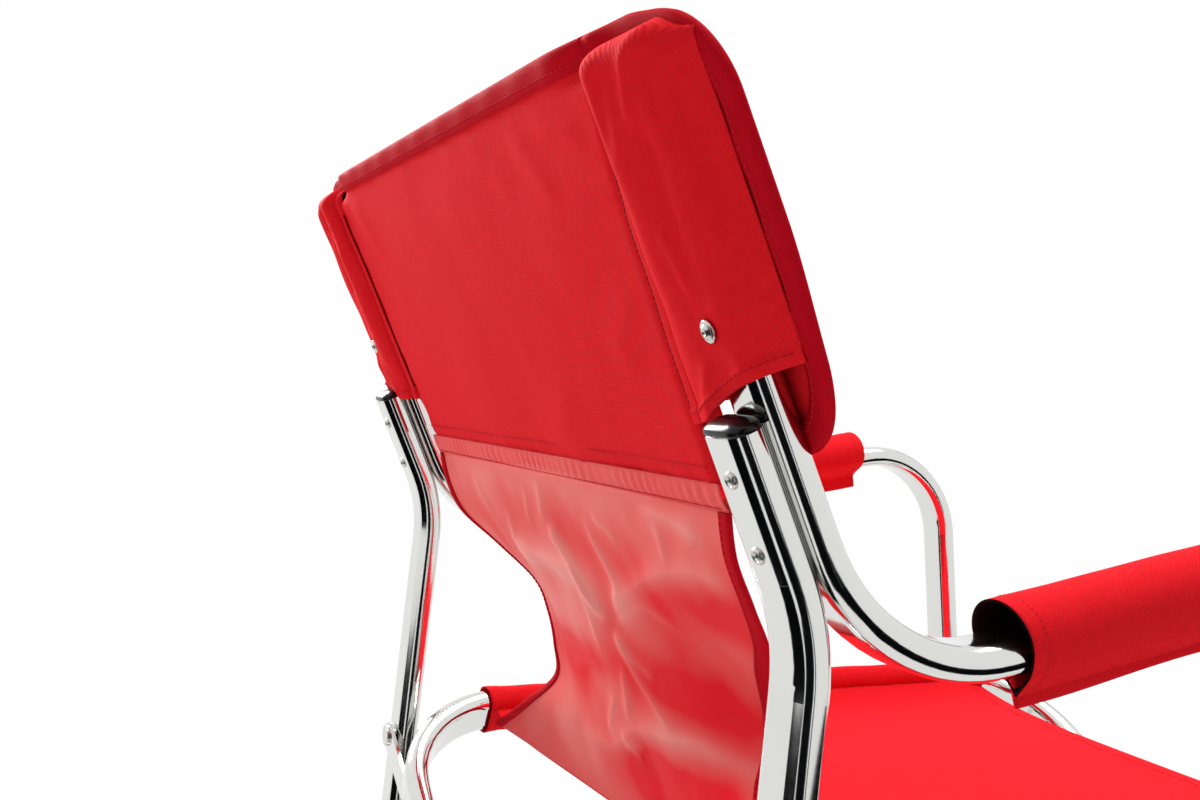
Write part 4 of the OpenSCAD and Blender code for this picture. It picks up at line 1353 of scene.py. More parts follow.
@dataclass
class LowerBack:
    """The coated cloth that hangs from the panel and turns under the sitter as the seat.

    The points of its edge and its middle line are shares of the drop from the hem to the rails:
    how far each is beyond the neck, for the edge alone, forward of the hem and below it. A fold,
    a swell or a tone, which is a patch of painted sheen or painted shade, lies at an x in
    millimetres, and down the cloth at a share of its length.
    """

    dresser: Dresser
    panel: BackPanel
    hem_h: float = 11.0
    neck_half: float = 137.0
    seat_sag: float = 24.0
    sleeve_in: float = 201.5
    hem_in: float = 6.0
    turn_rear: float = 10.0
    binding_w: float = 8.5
    tuck: float = 0.03
    thin: float = 0.6
    fold_keep: float = 0.38
    cloth_grid: tuple[int, int] = (192, 250)
    hem_grid: tuple[int, int] = (14, 420)
    hem_stitch: Stitching = Stitching(2.6, 2.0, 0.3)
    # Painted sheen: shares of the pale painted sheen colour on the plain film and on the hem band
    plain_sheen: float = 0.30
    hem_sheen: float = 0.32
    edge_shape: tuple[tuple[float, float, float], ...] = (
        (0.376, 0.027, 0.11),
        (0.359, 0.086, 0.221),
        (0.239, 0.197, 0.332),
        (0.095, 0.294, 0.444),
        (0.067, 0.336, 0.555),
        (0.036, 0.353, 0.666),
        (0.0, 0.347, 0.777),
        (0.109, 0.28, 0.889),
    )
    middle_shape: tuple[tuple[float, float], ...] = (
        (0.035, 0.11),
        (0.088, 0.221),
        (0.133, 0.332),
        (0.169, 0.444),
        (0.21, 0.555),
        (0.254, 0.666),
        (0.292, 0.777),
        (0.335, 0.92),
    )
    folds: tuple[Crease, ...] = (
        Crease(((27, 0.16), (5, 0.27), (-22, 0.44)), 6, 3.4, 0.15),
        Crease(((121, 0.31), (47, 0.29), (4, 0.31), (-22, 0.43)), 11, 3.4, 0.2),
        Crease(((90, 0.12), (99, 0.26), (53, 0.32)), 6, 1.8),
        Crease(((12, 0.01), (33, 0.17)), 4, 1.2),
        Crease(((42, 0.06), (61, 0.19)), 4, 1.1),
        Crease(((140, 0.04), (128, 0.20)), 5, 1.0),
        Crease(((2, 0.32), (2, 0.45), (6, 0.56)), 5, 2.0),
        Crease(((-39, 0.08), (-41, 0.17), (-53, 0.29), (-51, 0.32), (-33, 0.39)), 6, 2.2),
        Crease(((-50, 0.09), (-79, 0.15)), 4, 1.3),
        Crease(((-133, 0.06), (-132, 0.18)), 5, 1.5),
        Crease(((-113, 0.03), (-150, 0.05), (-176, 0.08), (-173, 0.13)), 6, 1.9),
        Crease(
            ((-30, 0.40), (-48, 0.34), (-90, 0.25), (-123, 0.20), (-159, 0.17), (-199, 0.18)), 9, 2.4, 0.15
        ),
        Crease(((-25, 0.44), (-76, 0.33), (-110, 0.38)), 5, 1.2),
        Crease(((-25, 0.44), (-34, 0.51), (-61, 0.57)), 6, 1.5, 0.2),
        Crease(((-25, 0.44), (-37, 0.57), (-63, 0.73)), 6, 1.9, 0.2),
        Crease(((-24, 0.54), (-14, 0.65), (-5, 0.77)), 5, 1.8),
        Crease(((2, 0.67), (33, 0.84)), 5, 1.5),
        Crease(((94, 0.89), (27, 0.86), (-12, 0.77), (-66, 0.73), (-119, 0.67)), 8, 1.7),
        Crease(((10, 0.80), (-14, 0.86)), 4, 1.2),
        Crease(((14, 0.84), (-22, 0.81)), 4, 1.0),
    )
    swells: tuple[Bulge, ...] = (
        Bulge(-138, 0.29, 52, 0.10, 4.0),
        Bulge(70, 0.60, 60, 0.10, -2.5),
        Bulge(-60, 0.88, 80, 0.08, -2.5),
    )
    # Patches of painted sheen where the height is positive, and painted shade where it is negative
    tones: tuple[Bulge, ...] = (
        Bulge(45, 0.46, 50, 0.13, 0.50),
        Bulge(100, 0.87, 62, 0.10, 0.35),
        Bulge(15, 0.66, 42, 0.06, 0.22),
        Bulge(0, 0.03, 260, 0.09, 0.30),
        Bulge(-100, 0.73, 62, 0.035, 0.30),
        Bulge(160, 0.14, 60, 0.12, 0.12),
        Bulge(-138, 0.28, 60, 0.10, -1.15),
        Bulge(-75, 0.58, 66, 0.10, -0.45),
        Bulge(-30, 0.88, 80, 0.06, -0.30),
        Bulge(70, 0.62, 50, 0.05, -0.25),
        Bulge(-170, 0.60, 60, 0.10, -0.15),
    )

    def __post_init__(self) -> None:
        """Works out the curves of the cloth's edge and of its middle, as x, v and z."""
        low = PLAN.upright_base + (self.panel.drop + self.hem_h + 0.6) * slope(PLAN.back_lean)
        low = low - 6.0 * slope_normal(PLAN.back_lean)
        middle = low - 2.4 * slope_normal(PLAN.back_lean)
        drop = low[1] - PLAN.rail_z
        turn = math.radians(self.turn_rear)
        sleeve_v = PLAN.seat_mid - PLAN.rail_run - PLAN.seat_bend_r * math.sin(turn)
        self.edge_line = [
            (self.panel.seam_half - self.hem_in, *low),
            *(
                (self.neck_half + b * drop, low[0] + f * drop, low[1] - d * drop)
                for b, f, d in self.edge_shape
            ),
            (self.sleeve_in, sleeve_v + self.seat_sag / 6, PLAN.rail_z - self.seat_sag / 4),
        ]
        self.mid_line = [
            (0, *middle),
            *((0, low[0] + f * drop, low[1] - d * drop) for f, d in self.middle_shape),
            (0, low[0] + 0.39 * drop, PLAN.rail_z - self.seat_sag * 0.8),
        ]

    def height(self) -> float:
        """Length of the cloth down its middle."""
        line = smooth_curve(self.mid_line, np.linspace(0, 1, 60))
        return float(np.linalg.norm(np.diff(line, axis=0), axis=1).sum())

    def relief(self, x: np.ndarray, w: np.ndarray) -> np.ndarray:
        """Height of the folds over the taut cloth: creases, swells and noise, pinned at the ends.

        Args:
            x: Places across.
            w: Places down, as shares of the cloth's length.

        Returns:
            The height at each place, in millimetres.
        """
        length = self.height()
        scaled = [replace(f, line=tuple((a, b * length) for a, b in f.line)) for f in self.folds]
        y = w * length
        pinned = ease(w / 0.06) * ease((1 - w) / 0.08)
        crumple = 0.7 * soft_noise(x, y, 62, 31) + 0.25 * soft_noise(x, y, 27, 32)
        return (relief_of(scaled, x, y) + relief_of(self.swells, x, w) + crumple) * pinned

    def points(self, t: np.ndarray, w: np.ndarray, lift: float = 0.0, flat: bool = False) -> np.ndarray:
        """Points of the cloth.

        Args:
            t: Places across, from -1 at the right edge to 1 at the left one.
            w: Places down, from 0 at the hem's foot to 1 at the seat; below 0 is tucked under it.
            lift: Distance behind the cloth's rear face.
            flat: Whether to leave the folds out.

        Returns:
            The points, in millimetres.
        """
        edge, middle = smooth_curve(self.edge_line, w), smooth_curve(self.mid_line, w)
        base = middle + (edge - middle) * (t**2)[..., None]
        x = edge[..., 0] * t
        raised = lift + (0 if flat else 1) * self.relief(x, w) * (1 - 0.6 * t**4)
        tucked = np.maximum(-w, 0) * self.height()
        up = -slope(PLAN.back_lean)
        v = base[..., 1] - raised * 0.85 + tucked * up[0] + 1.4 * ease(tucked / 2)
        return PLAN.place(x, v, base[..., 2] - raised * 0.25 + tucked * up[1])

    def make_cloth(self) -> None:
        """The cloth itself, coated behind and woven before, with painted sheen stored on its crests and
        patches.
        """
        w, u = unit_grid(*self.cloth_grid)
        w = w * (1 + self.tuck) - self.tuck
        points = self.points(2 * u - 1, w)
        piece = surface("lower_back", points, (0, 1, 0))
        x = points[..., 0]
        # Painted sheen: paler along the fold ridges, redder in the hollows, plus the painted patches
        mark_crests(piece, self.plain_sheen + self.relief(x, w) / 5 + relief_of(self.tones, x, w))
        thicken(piece, PLAN.cloth_t * self.thin, second=True)
        both = [self.dresser.finishes.coated, self.dresser.finishes.cloth]
        self.dresser.dress(piece, "coated_cloth", RIGHT_FRAME, both, ["lower_back_cloth"], self.fold_keep)
        self.dresser.cut(piece, "hung", ["hem_band_cloth"], self.make_bindings())

    def make_bindings(self) -> list[bpy.types.Object]:
        """The folded binding on both curved edges: a U across, along the edge.

        Returns:
            Both bindings and their stitches.
        """
        sewn = []
        w = np.linspace(0.0, 1.0, 150)
        edge = smooth_curve(self.edge_line, w)[:, 0]
        insets = [1.0, 0.97, 0.6, 0.15, -0.08, -0.12, -0.08, 0.15, 0.6, 0.97, 1.0]
        lifts = [0.2, 1.0, 1.3, 1.2, 0.6, -0.4, -1.2, -1.8, -1.9, -1.6, -1.0]
        tape = [self.dresser.finishes.binding]
        for side in Side:
            across = [side.value * (1 - inset * self.binding_w / edge) for inset in insets]
            lines = [self.points(t, w, lift) for t, lift in zip(across, lifts)]
            piece = close_ends(surface(f"lower_binding_{side.word}", np.stack(lines, axis=1), closed=True))
            self.dresser.dress(piece, "binding", RIGHT_FRAME, tape, ["lower_back_binding"], self.fold_keep)
            path = self.points(side.value * (1 - 0.8 * self.binding_w / edge), w, 1.3)
            name = f"lower_binding_stitches_{side.word}"
            sewn += [piece, self.dresser.sew(name, path, RIGHT_FRAME, self.fold_keep)]
        return sewn

    def make_hem(self) -> None:
        """The pleated hem band under the panel, with the stitches that hold it."""
        t, u = unit_grid(*self.hem_grid)
        panel = self.panel
        s = -panel.drop + 1.5 - t * (self.hem_h + 1.5)
        x = (2 * u - 1) * (panel.low_half + 0.5)
        pleats = 0.35 * np.sin(x / 1.5 + 3 * np.sin(x / 23)) * np.sin(np.pi * t) ** 0.5
        y = panel.cover_y - 0.2 + pleats * (0.6 + 0.4 * np.sin(x / 11)) - 0.7 * np.sin(np.pi * t)
        piece = surface("hem_band_cloth", PLAN.on_lean(x, y, s), REAR)
        thicken(piece, PLAN.cloth_t * self.thin)
        coated = [self.dresser.finishes.coated]
        self.dresser.dress(piece, "coated_cloth", RIGHT_FRAME, coated, ["hem_band"], self.fold_keep)
        line = np.linspace(-panel.low_half + panel.hem_inset, panel.low_half - panel.hem_inset, 200)
        path = PLAN.on_lean(line, panel.cover_y - 0.7, -panel.drop - self.hem_h + 1.4)
        row = self.dresser.sew("hem_band_stitches", path, RIGHT_FRAME, self.fold_keep, self.hem_stitch)
        # Painted sheen: the hem band gets an even share of the pale painted sheen colour
        mark_crests(piece, np.full(t.shape, self.hem_sheen))
        self.dresser.cut(piece, "stretched", ["rear_cover"], [row])

    def make(self) -> None:
        """Builds the lower back."""
        self.make_hem()
        self.make_cloth()


@dataclass
class Seat:
    """The seat: a taut cloth between two sleeves on the seat rails."""

    dresser: Dresser
    back: LowerBack
    turn_rear: float = 10.0
    turn_front: float = 30.0
    sleeve_grow: float = 1.5
    sleeve_thin: float = 0.8
    front_gap: float = 4.0
    sheet_grid: tuple[int, int] = (200, 150)
    sleeve_grid: tuple[int, int] = (150, 64)

    def rail_edge(self, ahead: np.ndarray) -> tuple[np.ndarray, np.ndarray]:
        """Upper edge of a sleeve's inner face.

        Args:
            ahead: How far forward of the rail's middle the place is.

        Returns:
            Its x and z.
        """
        past = np.maximum(0, np.abs(ahead) - PLAN.rail_run)
        inner = PLAN.seat_bend_r - PLAN.tube_t / 2 - self.sleeve_grow
        q = PLAN.seat_len - PLAN.seat_bend_r + np.sqrt(inner**2 - past**2)
        c, s = math.cos(PLAN.seat_slope), math.sin(PLAN.seat_slope)
        rise = (PLAN.tube_w - PLAN.tube_t) / 2
        return -PLAN.half + q * c - rise * s, PLAN.lower_pivot_z + q * s + rise * c

    def sheet_points(self, t: np.ndarray, w: np.ndarray) -> np.ndarray:
        """Points of the seat: it sags to its middle, and its sides rise to the rails.

        Args:
            t: Places across, from -1 at the right rail to 1 at the left one.
            w: Places forward, from 0 at the lower back to 1 at the front edge.

        Returns:
            The points, in millimetres.
        """
        sag = self.back.seat_sag
        rear = self.back.points(t, np.ones_like(w), flat=True)
        rear_v, rear_z = PLAN.origin_v - rear[..., 1] + 0.4, rear[..., 2]
        step = PLAN.seat_mid - PLAN.legs_mid
        reach = PLAN.rail_run + PLAN.seat_bend_r * math.sin(math.radians(self.turn_front)) - self.front_gap
        front_v = PLAN.legs_mid + t * step + reach - 3 * (1 - t**2)
        v = rear_v + (front_v - rear_v) * w
        edge_x, edge_z = self.rail_edge(v - PLAN.legs_mid - np.sign(t) * step)
        front_z = PLAN.rail_z - sag / 3 * (1 - t**4) - sag / 8
        soft = 0.8 * soft_noise(t * 200, w * 400, 120, 41) * np.sin(np.pi * w) * (1 - t**6)
        low_z = rear_z + (front_z - rear_z) * w - sag / 6 * np.sin(np.pi * w) * (1 - t**2) + soft
        side_z = PLAN.rail_z - sag / 4 + (sag / 4 - sag / 8) * w
        return PLAN.place(t * edge_x, v, low_z + (edge_z - side_z) * t**10)

    def make_sheet(self) -> None:
        """The seat cloth: woven above and coated below, with hem stitches at its front."""
        w, u = unit_grid(*self.sheet_grid)
        points = self.sheet_points(2 * u - 1, w)
        piece = surface("seat_sling", points, (0, 0, 1))
        thicken(piece, PLAN.cloth_t, second=True)
        both = [self.dresser.finishes.cloth, self.dresser.finishes.coated]
        self.dresser.dress(piece, "red_cloth", SEAT_A, both, ["seat_cloth"])
        row = self.dresser.sew("seat_front_stitches", points[-6] + np.array([0, 0, 0.3]), SEAT_A)
        left, right = (tuple(PLAN.on_rail(side, 0, 0, 0) * MM) for side in (Side.LEFT, Side.RIGHT))
        for part in (piece, row):
            part.parent = None
            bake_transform(part)
        self.dresser.cut(piece, "stretched", [f"seat_frame_{side.word}" for side in Side], [row])

    def make_sleeve(self, side: Side) -> None:
        """A sleeve on a rail: a flat loop round the tube, swept along it, loose at its ends.

        Args:
            side: The rail's side.
        """
        rear, front = math.radians(self.turn_rear), math.radians(self.turn_front)
        reach = PLAN.rail_run + PLAN.seat_bend_r * np.array([rear, front])
        t, u = unit_grid(*self.sleeve_grid)
        a = -reach[0] + t * reach.sum()
        turn = 2 * np.pi * u
        flat = (PLAN.tube_w - PLAN.tube_t) / 2
        loose = 1.7 + 0.9 * ease((np.abs(t - 0.5) - 0.47) / 0.03) + 0.35 * soft_noise(a, turn * 12, 40, 51)
        radius = PLAN.tube_t / 2 + loose
        out = radius * np.cos(turn)
        up = radius * np.sin(turn) + flat * np.tanh(6 * np.sin(turn))
        points = PLAN.on_rail(side, a, out, up)
        piece = surface(f"seat_sleeve_cloth_{side.word}", points[:, :-1], closed=True)
        thicken(piece, PLAN.cloth_t * self.sleeve_thin, second=True)
        both = [self.dresser.finishes.cloth, self.dresser.finishes.binding]
        self.dresser.dress(piece, "red_cloth", side.seat_frame, both, [f"seat_sleeve_{side.word}"])
        rows = []
        for k, step in enumerate((3, -4)):
            ring = np.concatenate([points[step], points[step][:1]])
            rows.append(self.dresser.sew(f"seat_sleeve_stitches_{side.word}_{k + 1}", ring, side.seat_frame))
        self.dresser.cut(piece, "folded", [f"seat_frame_{side.word}"], rows)

    def make(self) -> None:
        """Builds the seat."""
        self.make_sheet()
        for side in Side:
            self.make_sleeve(side)


@dataclass
class ArmSleeves:
    """Round cloth sleeves on the armrests, sewn along a flap below, lined in black."""

    dresser: Dresser
    width: float = 38.0
    height: float = 32.0
    lift: float = 5.4
    gap: float = 6.0
    flap: float = 13.0
    flap_side: float = 1.5
    flap_tilt: float = 6.0
    flap_thick: float = 1.6
    cusp: float = 0.62
    cusp_outer: float = 0.42
    cusp_inner: float = 0.2
    loop_grid: tuple[int, int] = (140, 121)
    flap_grid: tuple[int, int] = (140, 12)
    end_stitch: Stitching = Stitching(2.8, 2.1, 0.3)

    def loop(self, side: Side, a: np.ndarray, u: np.ndarray) -> np.ndarray:
        """Points of the loop round the arm, from one side of the flap to the other.

        An oval whose share u runs once round from its lowest point. Near there it is drawn
        down in a cusp over the flap, with a longer slope on the outer side.

        Args:
            side: The arm's side.
            a: Places along the arm.
            u: Share of the way round.

        Returns:
            The points, in millimetres.
        """
        turn = 2 * np.pi * u
        out = side.value * (np.mod(turn + np.pi, 2 * np.pi) - np.pi) - 0.08
        cusp = np.exp(-np.abs(out) / np.where(out > 0, self.cusp_outer, self.cusp_inner))
        uneven = 0.5 * soft_noise(a, turn * 15, 55, 60 + side.value)
        x = (self.width / 2 + uneven) * np.sin(turn)
        h = -(self.height / 2 + uneven * 0.5) * np.cos(turn) - self.cusp * self.flap * cusp
        lean = side.value * self.flap_side * ease((np.cos(turn) - 0.3) / 0.7)
        return PLAN.on_arm(side.value * PLAN.half + x + lean, self.lift + h, a)

    def make_flap(self, side: Side, length: float, above: str) -> None:
        """The flap below a sleeve: two layers, sewn together along their top.

        Args:
            side: The arm's side.
            length: The sleeve's length.
            above: The name of the sleeve that it hangs from.
        """
        t, u = unit_grid(*self.flap_grid)
        a = self.gap + 1 + t * (length - 2)
        tilt = math.radians(self.flap_tilt)
        down = u * self.flap * (1 + 0.05 * np.sin(a / 19))
        wave = 0.7 * soft_noise(a, down, 60, 70 + side.value) * u
        x = side.value * (PLAN.half + self.flap_side + down * math.sin(tilt)) + wave
        points = PLAN.on_arm(x, self.lift - self.height / 2 + 0.8 - down * math.cos(tilt), a)
        flap = surface(f"arm_sleeve_flap_{side.word}", points, (side.value, 0, 0))
        thicken(flap, PLAN.cloth_t * self.flap_thick)
        self.dresser.dress(flap, "red_cloth", side.side_frame, [self.dresser.finishes.cloth])
        line = points[:, 2] + np.array([side.value * 0.5, 0, 0])
        row = self.dresser.sew(f"arm_flap_stitches_{side.word}", line, side.side_frame)
        self.dresser.cut(flap, "folded", [above], [row])

    def make_one(self, side: Side) -> None:
        """A sleeve: its loop, its flap, and its stitches.

        Args:
            side: The arm's side.
        """
        length = PLAN.arm_run - 2 * self.gap
        t, u = unit_grid(*self.loop_grid)
        ends = 0.9 * np.sin(2 * np.pi * u + 1.3)
        loop = self.loop(side, self.gap + t * length + ends * (1 - 2 * t), u)
        piece = surface(f"arm_sleeve_cloth_{side.word}", loop[:, :-1], closed=True)
        thicken(piece, PLAN.cloth_t, second=True)
        both = [self.dresser.finishes.cloth, self.dresser.finishes.lining]
        self.dresser.dress(piece, "red_cloth", side.side_frame, both, [f"arm_sleeve_{side.word}"])
        self.make_flap(side, length, piece.name)
        rows = []
        for k, step in enumerate((4, -5)):
            name = f"arm_end_stitches_{side.word}_{k + 1}"
            rows.append(self.dresser.sew(name, loop[step], side.side_frame, None, self.end_stitch))
        self.dresser.cut(piece, "folded", [f"side_tube_{side.word}"], rows)

    def make(self) -> None:
        """Builds both sleeves."""
        for side in Side:
            self.make_one(side)


@dataclass
class Metalwork:
    """The tubes, links, pins and rivets, and the plastic ends."""

    dresser: Dresser
    rivet_top: float = 16.7
    rivet_pitch: float = 30.4
    rivet_head_r: float = 3.6
    rivet_bore_r: float = 1.5
    cap_h: float = 5.5
    hidden_cap_h: float = 1.7
    cap_rim_h: float = 1.6
    cap_skirt: float = 0.25
    cap_sides: int = 64
    cap_rings: int = 11

    def finish_nodes(self) -> None:
        """Gives each node that keeps its own shape the finish of its slot."""
        finishes = self.dresser.finishes
        by_slot = {"polished_tube": finishes.tube, "steel": finishes.steel, "black_plastic": finishes.plastic}
        for part in frame["record"]["subparts"]:
            material = by_slot.get(part["material_slot"])
            if material is None:
                continue
            node = frame["nodes"][part["node"]]
            node.data.materials.clear()
            node.data.materials.append(material)
            LOG.info("%s: finished as %s", node.name, material.name)

    def make_rivets(self) -> None:
        """Tubular rivets: a rolled rim on each face of a rear leg and its upright."""
        r, b = self.rivet_head_r, self.rivet_bore_r
        bore = [(b, 0.15), (b * 1.1, 0.75), (b + 0.35 * (r - b), 1.25), (b + 0.62 * (r - b), 1.35)]
        rim = [*bore, (b + 0.86 * (r - b), 1.0), (r, 0.35), (r, -0.2)]
        ahead = slope_normal(PLAN.back_lean)
        rearward = PLAN.place(0.0, *-ahead) - PLAN.place(0, 0, 0)
        both = [self.dresser.finishes.steel, self.dresser.finishes.plastic]
        faces = (("rear", -PLAN.tube_t / 2, 1), ("front", PLAN.tube_t * 1.5, -1))
        for side in Side:
            for k in range(2):
                run = self.rivet_top + k * self.rivet_pitch
                centre = np.array([0.0, PLAN.leg_top_z]) + run * slope(PLAN.back_lean)
                for word, depth, sign in faces:
                    at = PLAN.place(side.value * PLAN.half, *(centre + depth * ahead))
                    name = f"rivet_rim_{word}_{side.word}_{k + 1}"
                    piece = revolved(name, rim, at, rearward * sign, True)
                    self.dresser.dress(piece, "steel", side.side_frame, both, [f"leg_rivets_{side.word}"])

    def dome(self, name: str, x: float, end: np.ndarray, height: float) -> bpy.types.Object:
        """A domed cap: the tube's flat oval drawn in along a quarter circle up to its ridge.

        Args:
            name: The piece's name.
            x: The tube's place across the chair.
            end: The middle of the tube's end, as v and z.
            height: How far the cap stands over the tube's end.

        Returns:
            The new object.
        """
        rise = -slope(PLAN.back_lean)
        ahead = slope_normal(PLAN.back_lean)
        w, t = PLAN.tube_w, PLAN.tube_t
        turn = np.linspace(0, 2 * np.pi, self.cap_sides, endpoint=False)
        lift = np.array([0.0, 0.15, *[self.cap_rim_h] * (self.cap_rings + 1)])
        angle = np.concatenate([np.zeros(3), np.linspace(0.14, np.pi / 2, self.cap_rings)])
        radius = t / 2 * np.maximum(np.cos(angle), 0.004)
        radius[0] -= self.cap_skirt
        up = lift + (height - self.cap_rim_h) * np.sin(angle)
        stretch = (w - t) / 2 * (0.55 + 0.45 * np.cos(angle))
        across = radius[:, None] * np.cos(turn) + stretch[:, None] * np.tanh(5 * np.cos(turn))
        deep = radius[:, None] * np.sin(turn)
        v = end[0] + up[:, None] * rise[0] + deep * ahead[0]
        z = end[1] + up[:, None] * rise[1] + deep * ahead[1]
        return close_ends(surface(name, PLAN.place(x + across, v, z), closed=True))

    def make_caps(self) -> None:
        """A domed plastic cap on each rear leg and each upright."""
        upright_top = PLAN.upright_base - PLAN.upright_rise * slope(PLAN.back_lean)
        leg_top = np.array([0.0, PLAN.leg_top_z])
        ends = (("leg_cap", leg_top, self.cap_h), ("upright_cap", upright_top, self.hidden_cap_h))
        plastic = [self.dresser.finishes.plastic]
        for side in Side:
            for word, end, height in ends:
                piece = self.dome(f"{word}_dome_{side.word}", side.value * PLAN.half, end, height)
                self.dresser.dress(piece, "black_plastic", side.side_frame, plastic, [f"{word}_{side.word}"])

    def make(self) -> None:
        """Finishes the metal and builds what replaces plain nodes."""
        self.finish_nodes()
        self.make_rivets()
        self.make_caps()


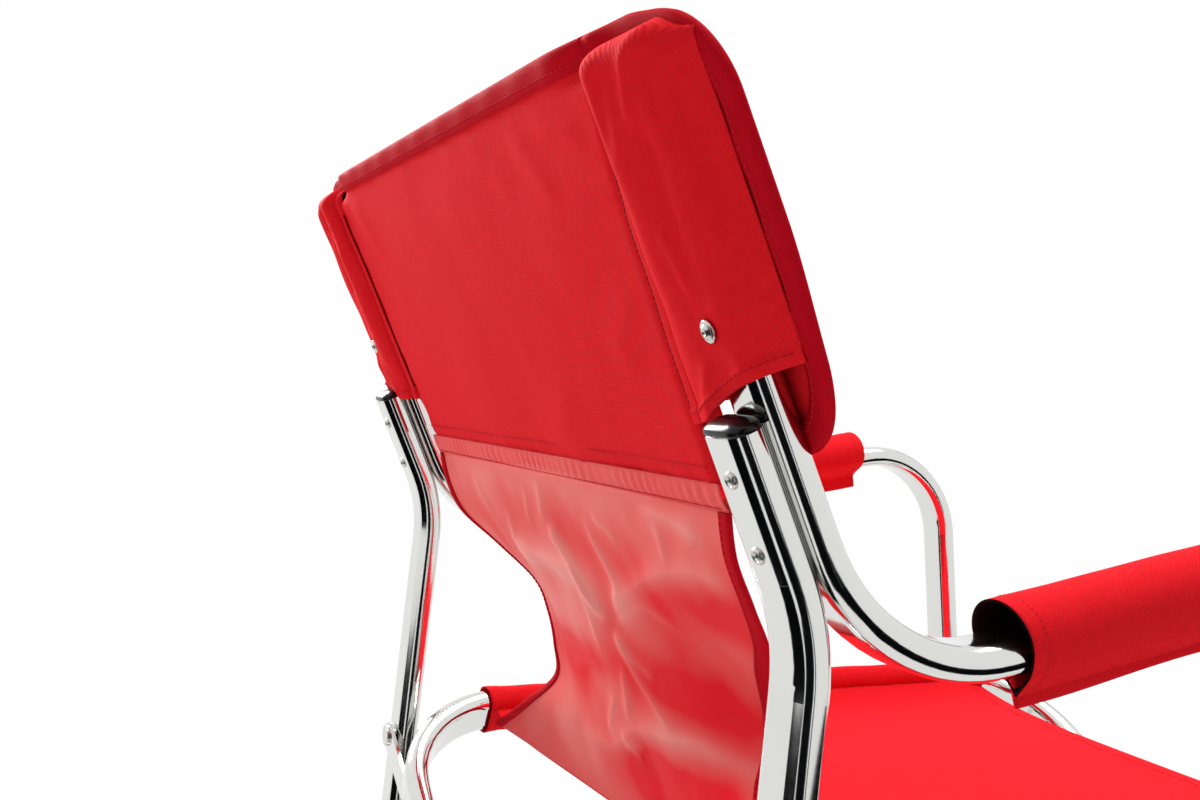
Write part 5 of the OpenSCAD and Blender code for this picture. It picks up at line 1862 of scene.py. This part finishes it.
@dataclass
class Studio:
    """A pale floor and backdrop, soft lamps, a dark room behind the camera, and the camera.

    A dark sector of the floor runs from one bearing to another, in degrees, and between two
    radii. A dark plane stands on the floor, from a corner, with a run in x and y and a height.
    """

    lens_mm: float = 41.02
    sensor_mm: float = 36.0
    image_w: int = 1200
    horizon_px: float = 55.0
    camera_x: float = -698.8
    camera_v: float = -241.6
    camera_z: float = 611.0
    camera_ahead: tuple[float, float, float] = (0.9208, -0.3889, 0.0275)
    camera_right: tuple[float, float, float] = (-0.3898, -0.9202, 0.0354)
    ambient: float = 0.59
    floor_half: float = 14000.0
    floor_glow: float = 0.985
    aim: tuple[float, float, float] = (0, 100, 480)
    dark_floor: str = "#0A0B0D"
    dark_sectors: tuple[tuple[float, float, float, float], ...] = (
        (56.0, 122.0, 690.0, 5200.0),
        (134.0, 166.0, 760.0, 5200.0),
        (166.0, 262.0, 640.0, 1750.0),
    )
    dark_planes: tuple[tuple[str, tuple[float, float], tuple[float, float], float, str], ...] = (
        ("dark_stand", (-1240, 500), (420, 530), 1500, "#101113"),
        ("dark_pole", (-1120, 205), (20, 80), 1500, "#3A3A3A"),
        ("dark_edge", (1500, -2600), (260, 0), 2600, "#1A1C1F"),
    )
    lamps: tuple[tuple[str, tuple[float, float, float], float, float], ...] = (
        ("key_lamp", (2500, -600, 1700), 1300, 120),
        ("top_lamp", (200, 700, 2700), 1800, 60),
    )

    def make_camera(self) -> None:
        """The camera, close behind the sitter's right side, with the photograph's framing."""
        data = bpy.data.cameras.new("camera")
        data.lens = self.lens_mm
        data.sensor_width = self.sensor_mm
        data.shift_y = -self.horizon_px / self.image_w
        data.clip_start = 0.01
        data.clip_end = 60
        camera = bpy.data.objects.new("camera", data)
        forward = Vector(self.camera_ahead).normalized()
        right = Vector(self.camera_right)
        right = (right - forward * right.dot(forward)).normalized()
        up = right.cross(forward)
        turn = Matrix((right, up, -forward)).transposed().to_4x4()
        place = PLAN.place(self.camera_x, self.camera_v, self.camera_z) * MM
        camera.matrix_world = Matrix.Translation(Vector(place)) @ turn
        bpy.context.scene.collection.objects.link(camera)
        bpy.context.scene.camera = camera

    def seen(self, tree: bpy.types.NodeTree) -> bpy.types.NodeSocket:
        """Share that is 1 for rays from the camera, off gloss or through glass, and 0 otherwise.

        Args:
            tree: The tree that gets the nodes.

        Returns:
            The output that carries the share.
        """
        path = add_node(tree, "ShaderNodeLightPath").outputs
        share = path["Is Camera Ray"]
        for kind in ("Is Glossy Ray", "Is Transmission Ray"):
            pair = {0: share, 1: path[kind]}
            share = add_node(tree, "ShaderNodeMath", pair, operation="MAXIMUM").outputs[0]
        return share

    def make_world(self) -> None:
        """White where it is seen, and a softer white where it only lights."""
        world = bpy.data.worlds.new("studio")
        bpy.context.scene.world = world
        world.use_nodes = True
        tree = world.node_tree
        tree.nodes.clear()
        level = {"Value": self.seen(tree), 3: self.ambient, 4: 1.0}
        strength = add_node(tree, "ShaderNodeMapRange", level).outputs["Result"]
        light = add_node(tree, "ShaderNodeBackground", {"Color": linear("#FFFFFF"), "Strength": strength})
        add_node(tree, "ShaderNodeOutputWorld", {"Surface": light.outputs["Background"]})

    def make_floor(self) -> None:
        """A wide pale floor that keeps the chair's soft shadow."""
        corners = self.floor_half * np.array([[-1.0, -1, 0], [1, -1, 0], [1, 1, 0], [-1, 1, 0]])
        floor = mesh_object("floor", corners, np.array([[0, 1, 2, 3]]), smooth=False)
        material, tree = new_material("pale_floor")
        paint = add_node(tree, "ShaderNodeBsdfDiffuse", {"Color": linear("#D2D2D2")})
        glow = add_node(tree, "ShaderNodeEmission", {"Color": linear("#FFFFFF"), "Strength": 1.0})
        level = {0: self.seen(tree), 1: self.floor_glow}
        share = add_node(tree, "ShaderNodeMath", level, operation="MULTIPLY")
        layers = {0: share.outputs[0], 1: paint.outputs[0], 2: glow.outputs[0]}
        both = add_node(tree, "ShaderNodeMixShader", layers)
        add_node(tree, "ShaderNodeOutputMaterial", {"Surface": both.outputs[0]})
        floor.data.materials.append(material)

    def make_dark(self, name: str, points: np.ndarray, tone: str) -> None:
        """A dark surface of the room that only gloss sees.

        Args:
            name: Its name.
            points: A grid of points, in millimetres.
            tone: Its colour.
        """
        dark = surface(name, points, (0, 0, 1))
        material, tree = new_material(name)
        glow = add_node(tree, "ShaderNodeEmission", {"Color": linear(tone), "Strength": 1.0})
        add_node(tree, "ShaderNodeOutputMaterial", {"Surface": glow.outputs[0]})
        dark.data.materials.append(material)
        for ray in ("camera", "diffuse", "transmission", "volume_scatter", "shadow"):
            setattr(dark, f"visible_{ray}", False)

    def make_room(self) -> None:
        """The dark things behind the camera: the floor past the paper, a stand and a pole."""
        t, u = unit_grid(2, 40)
        for k, (start, end, inner, outer) in enumerate(self.dark_sectors):
            turn = np.radians(start + u * (end - start))
            reach = inner + t * (outer - inner)
            points = np.stack([reach * np.cos(turn), reach * np.sin(turn), np.full(t.shape, 3.0)], axis=-1)
            self.make_dark(f"dark_floor_{k + 1}", points, self.dark_floor)
        t, u = unit_grid(2, 2)
        for name, (x, y), (run_x, run_y), height, tone in self.dark_planes:
            points = np.stack([x + run_x * u, y + run_y * u, height * t], axis=-1)
            self.make_dark(name, points, tone)

    def make_lamp(self, name: str, place: tuple[float, float, float], size: float, watts: float) -> None:
        """A soft square lamp that points at the chair's back.

        Args:
            name: Its name.
            place: Where it hangs, as x, v and z.
            size: The length of its side, in millimetres.
            watts: Its power.
        """
        data = bpy.data.lights.new(name, "AREA")
        data.shape = "SQUARE"
        data.size = size * MM
        data.energy = watts
        lamp = bpy.data.objects.new(name, data)
        spot, aim = Vector(PLAN.place(*place) * MM), Vector(PLAN.place(*self.aim) * MM)
        turn = (aim - spot).to_track_quat("-Z", "Y").to_matrix().to_4x4()
        lamp.matrix_world = Matrix.Translation(spot) @ turn
        bpy.context.scene.collection.objects.link(lamp)

    def make(self) -> None:
        """Builds the studio."""
        bpy.context.scene.view_settings.view_transform = "Standard"
        self.make_camera()
        self.make_world()
        self.make_floor()
        self.make_room()
        for lamp in self.lamps:
            self.make_lamp(*lamp)


def main() -> None:
    """Builds the chair's dress and the studio, in order."""
    logging.basicConfig(level=logging.INFO, format="%(name)s: %(message)s")
    Studio().make()
    dresser = Dresser(Finishes())
    Metalwork(dresser).make()
    panel = BackPanel(dresser)
    panel.make()
    back = LowerBack(dresser, panel)
    back.make()
    Seat(dresser, back).make()
    ArmSleeves(dresser).make()


if __name__ == "__main__":
    main()
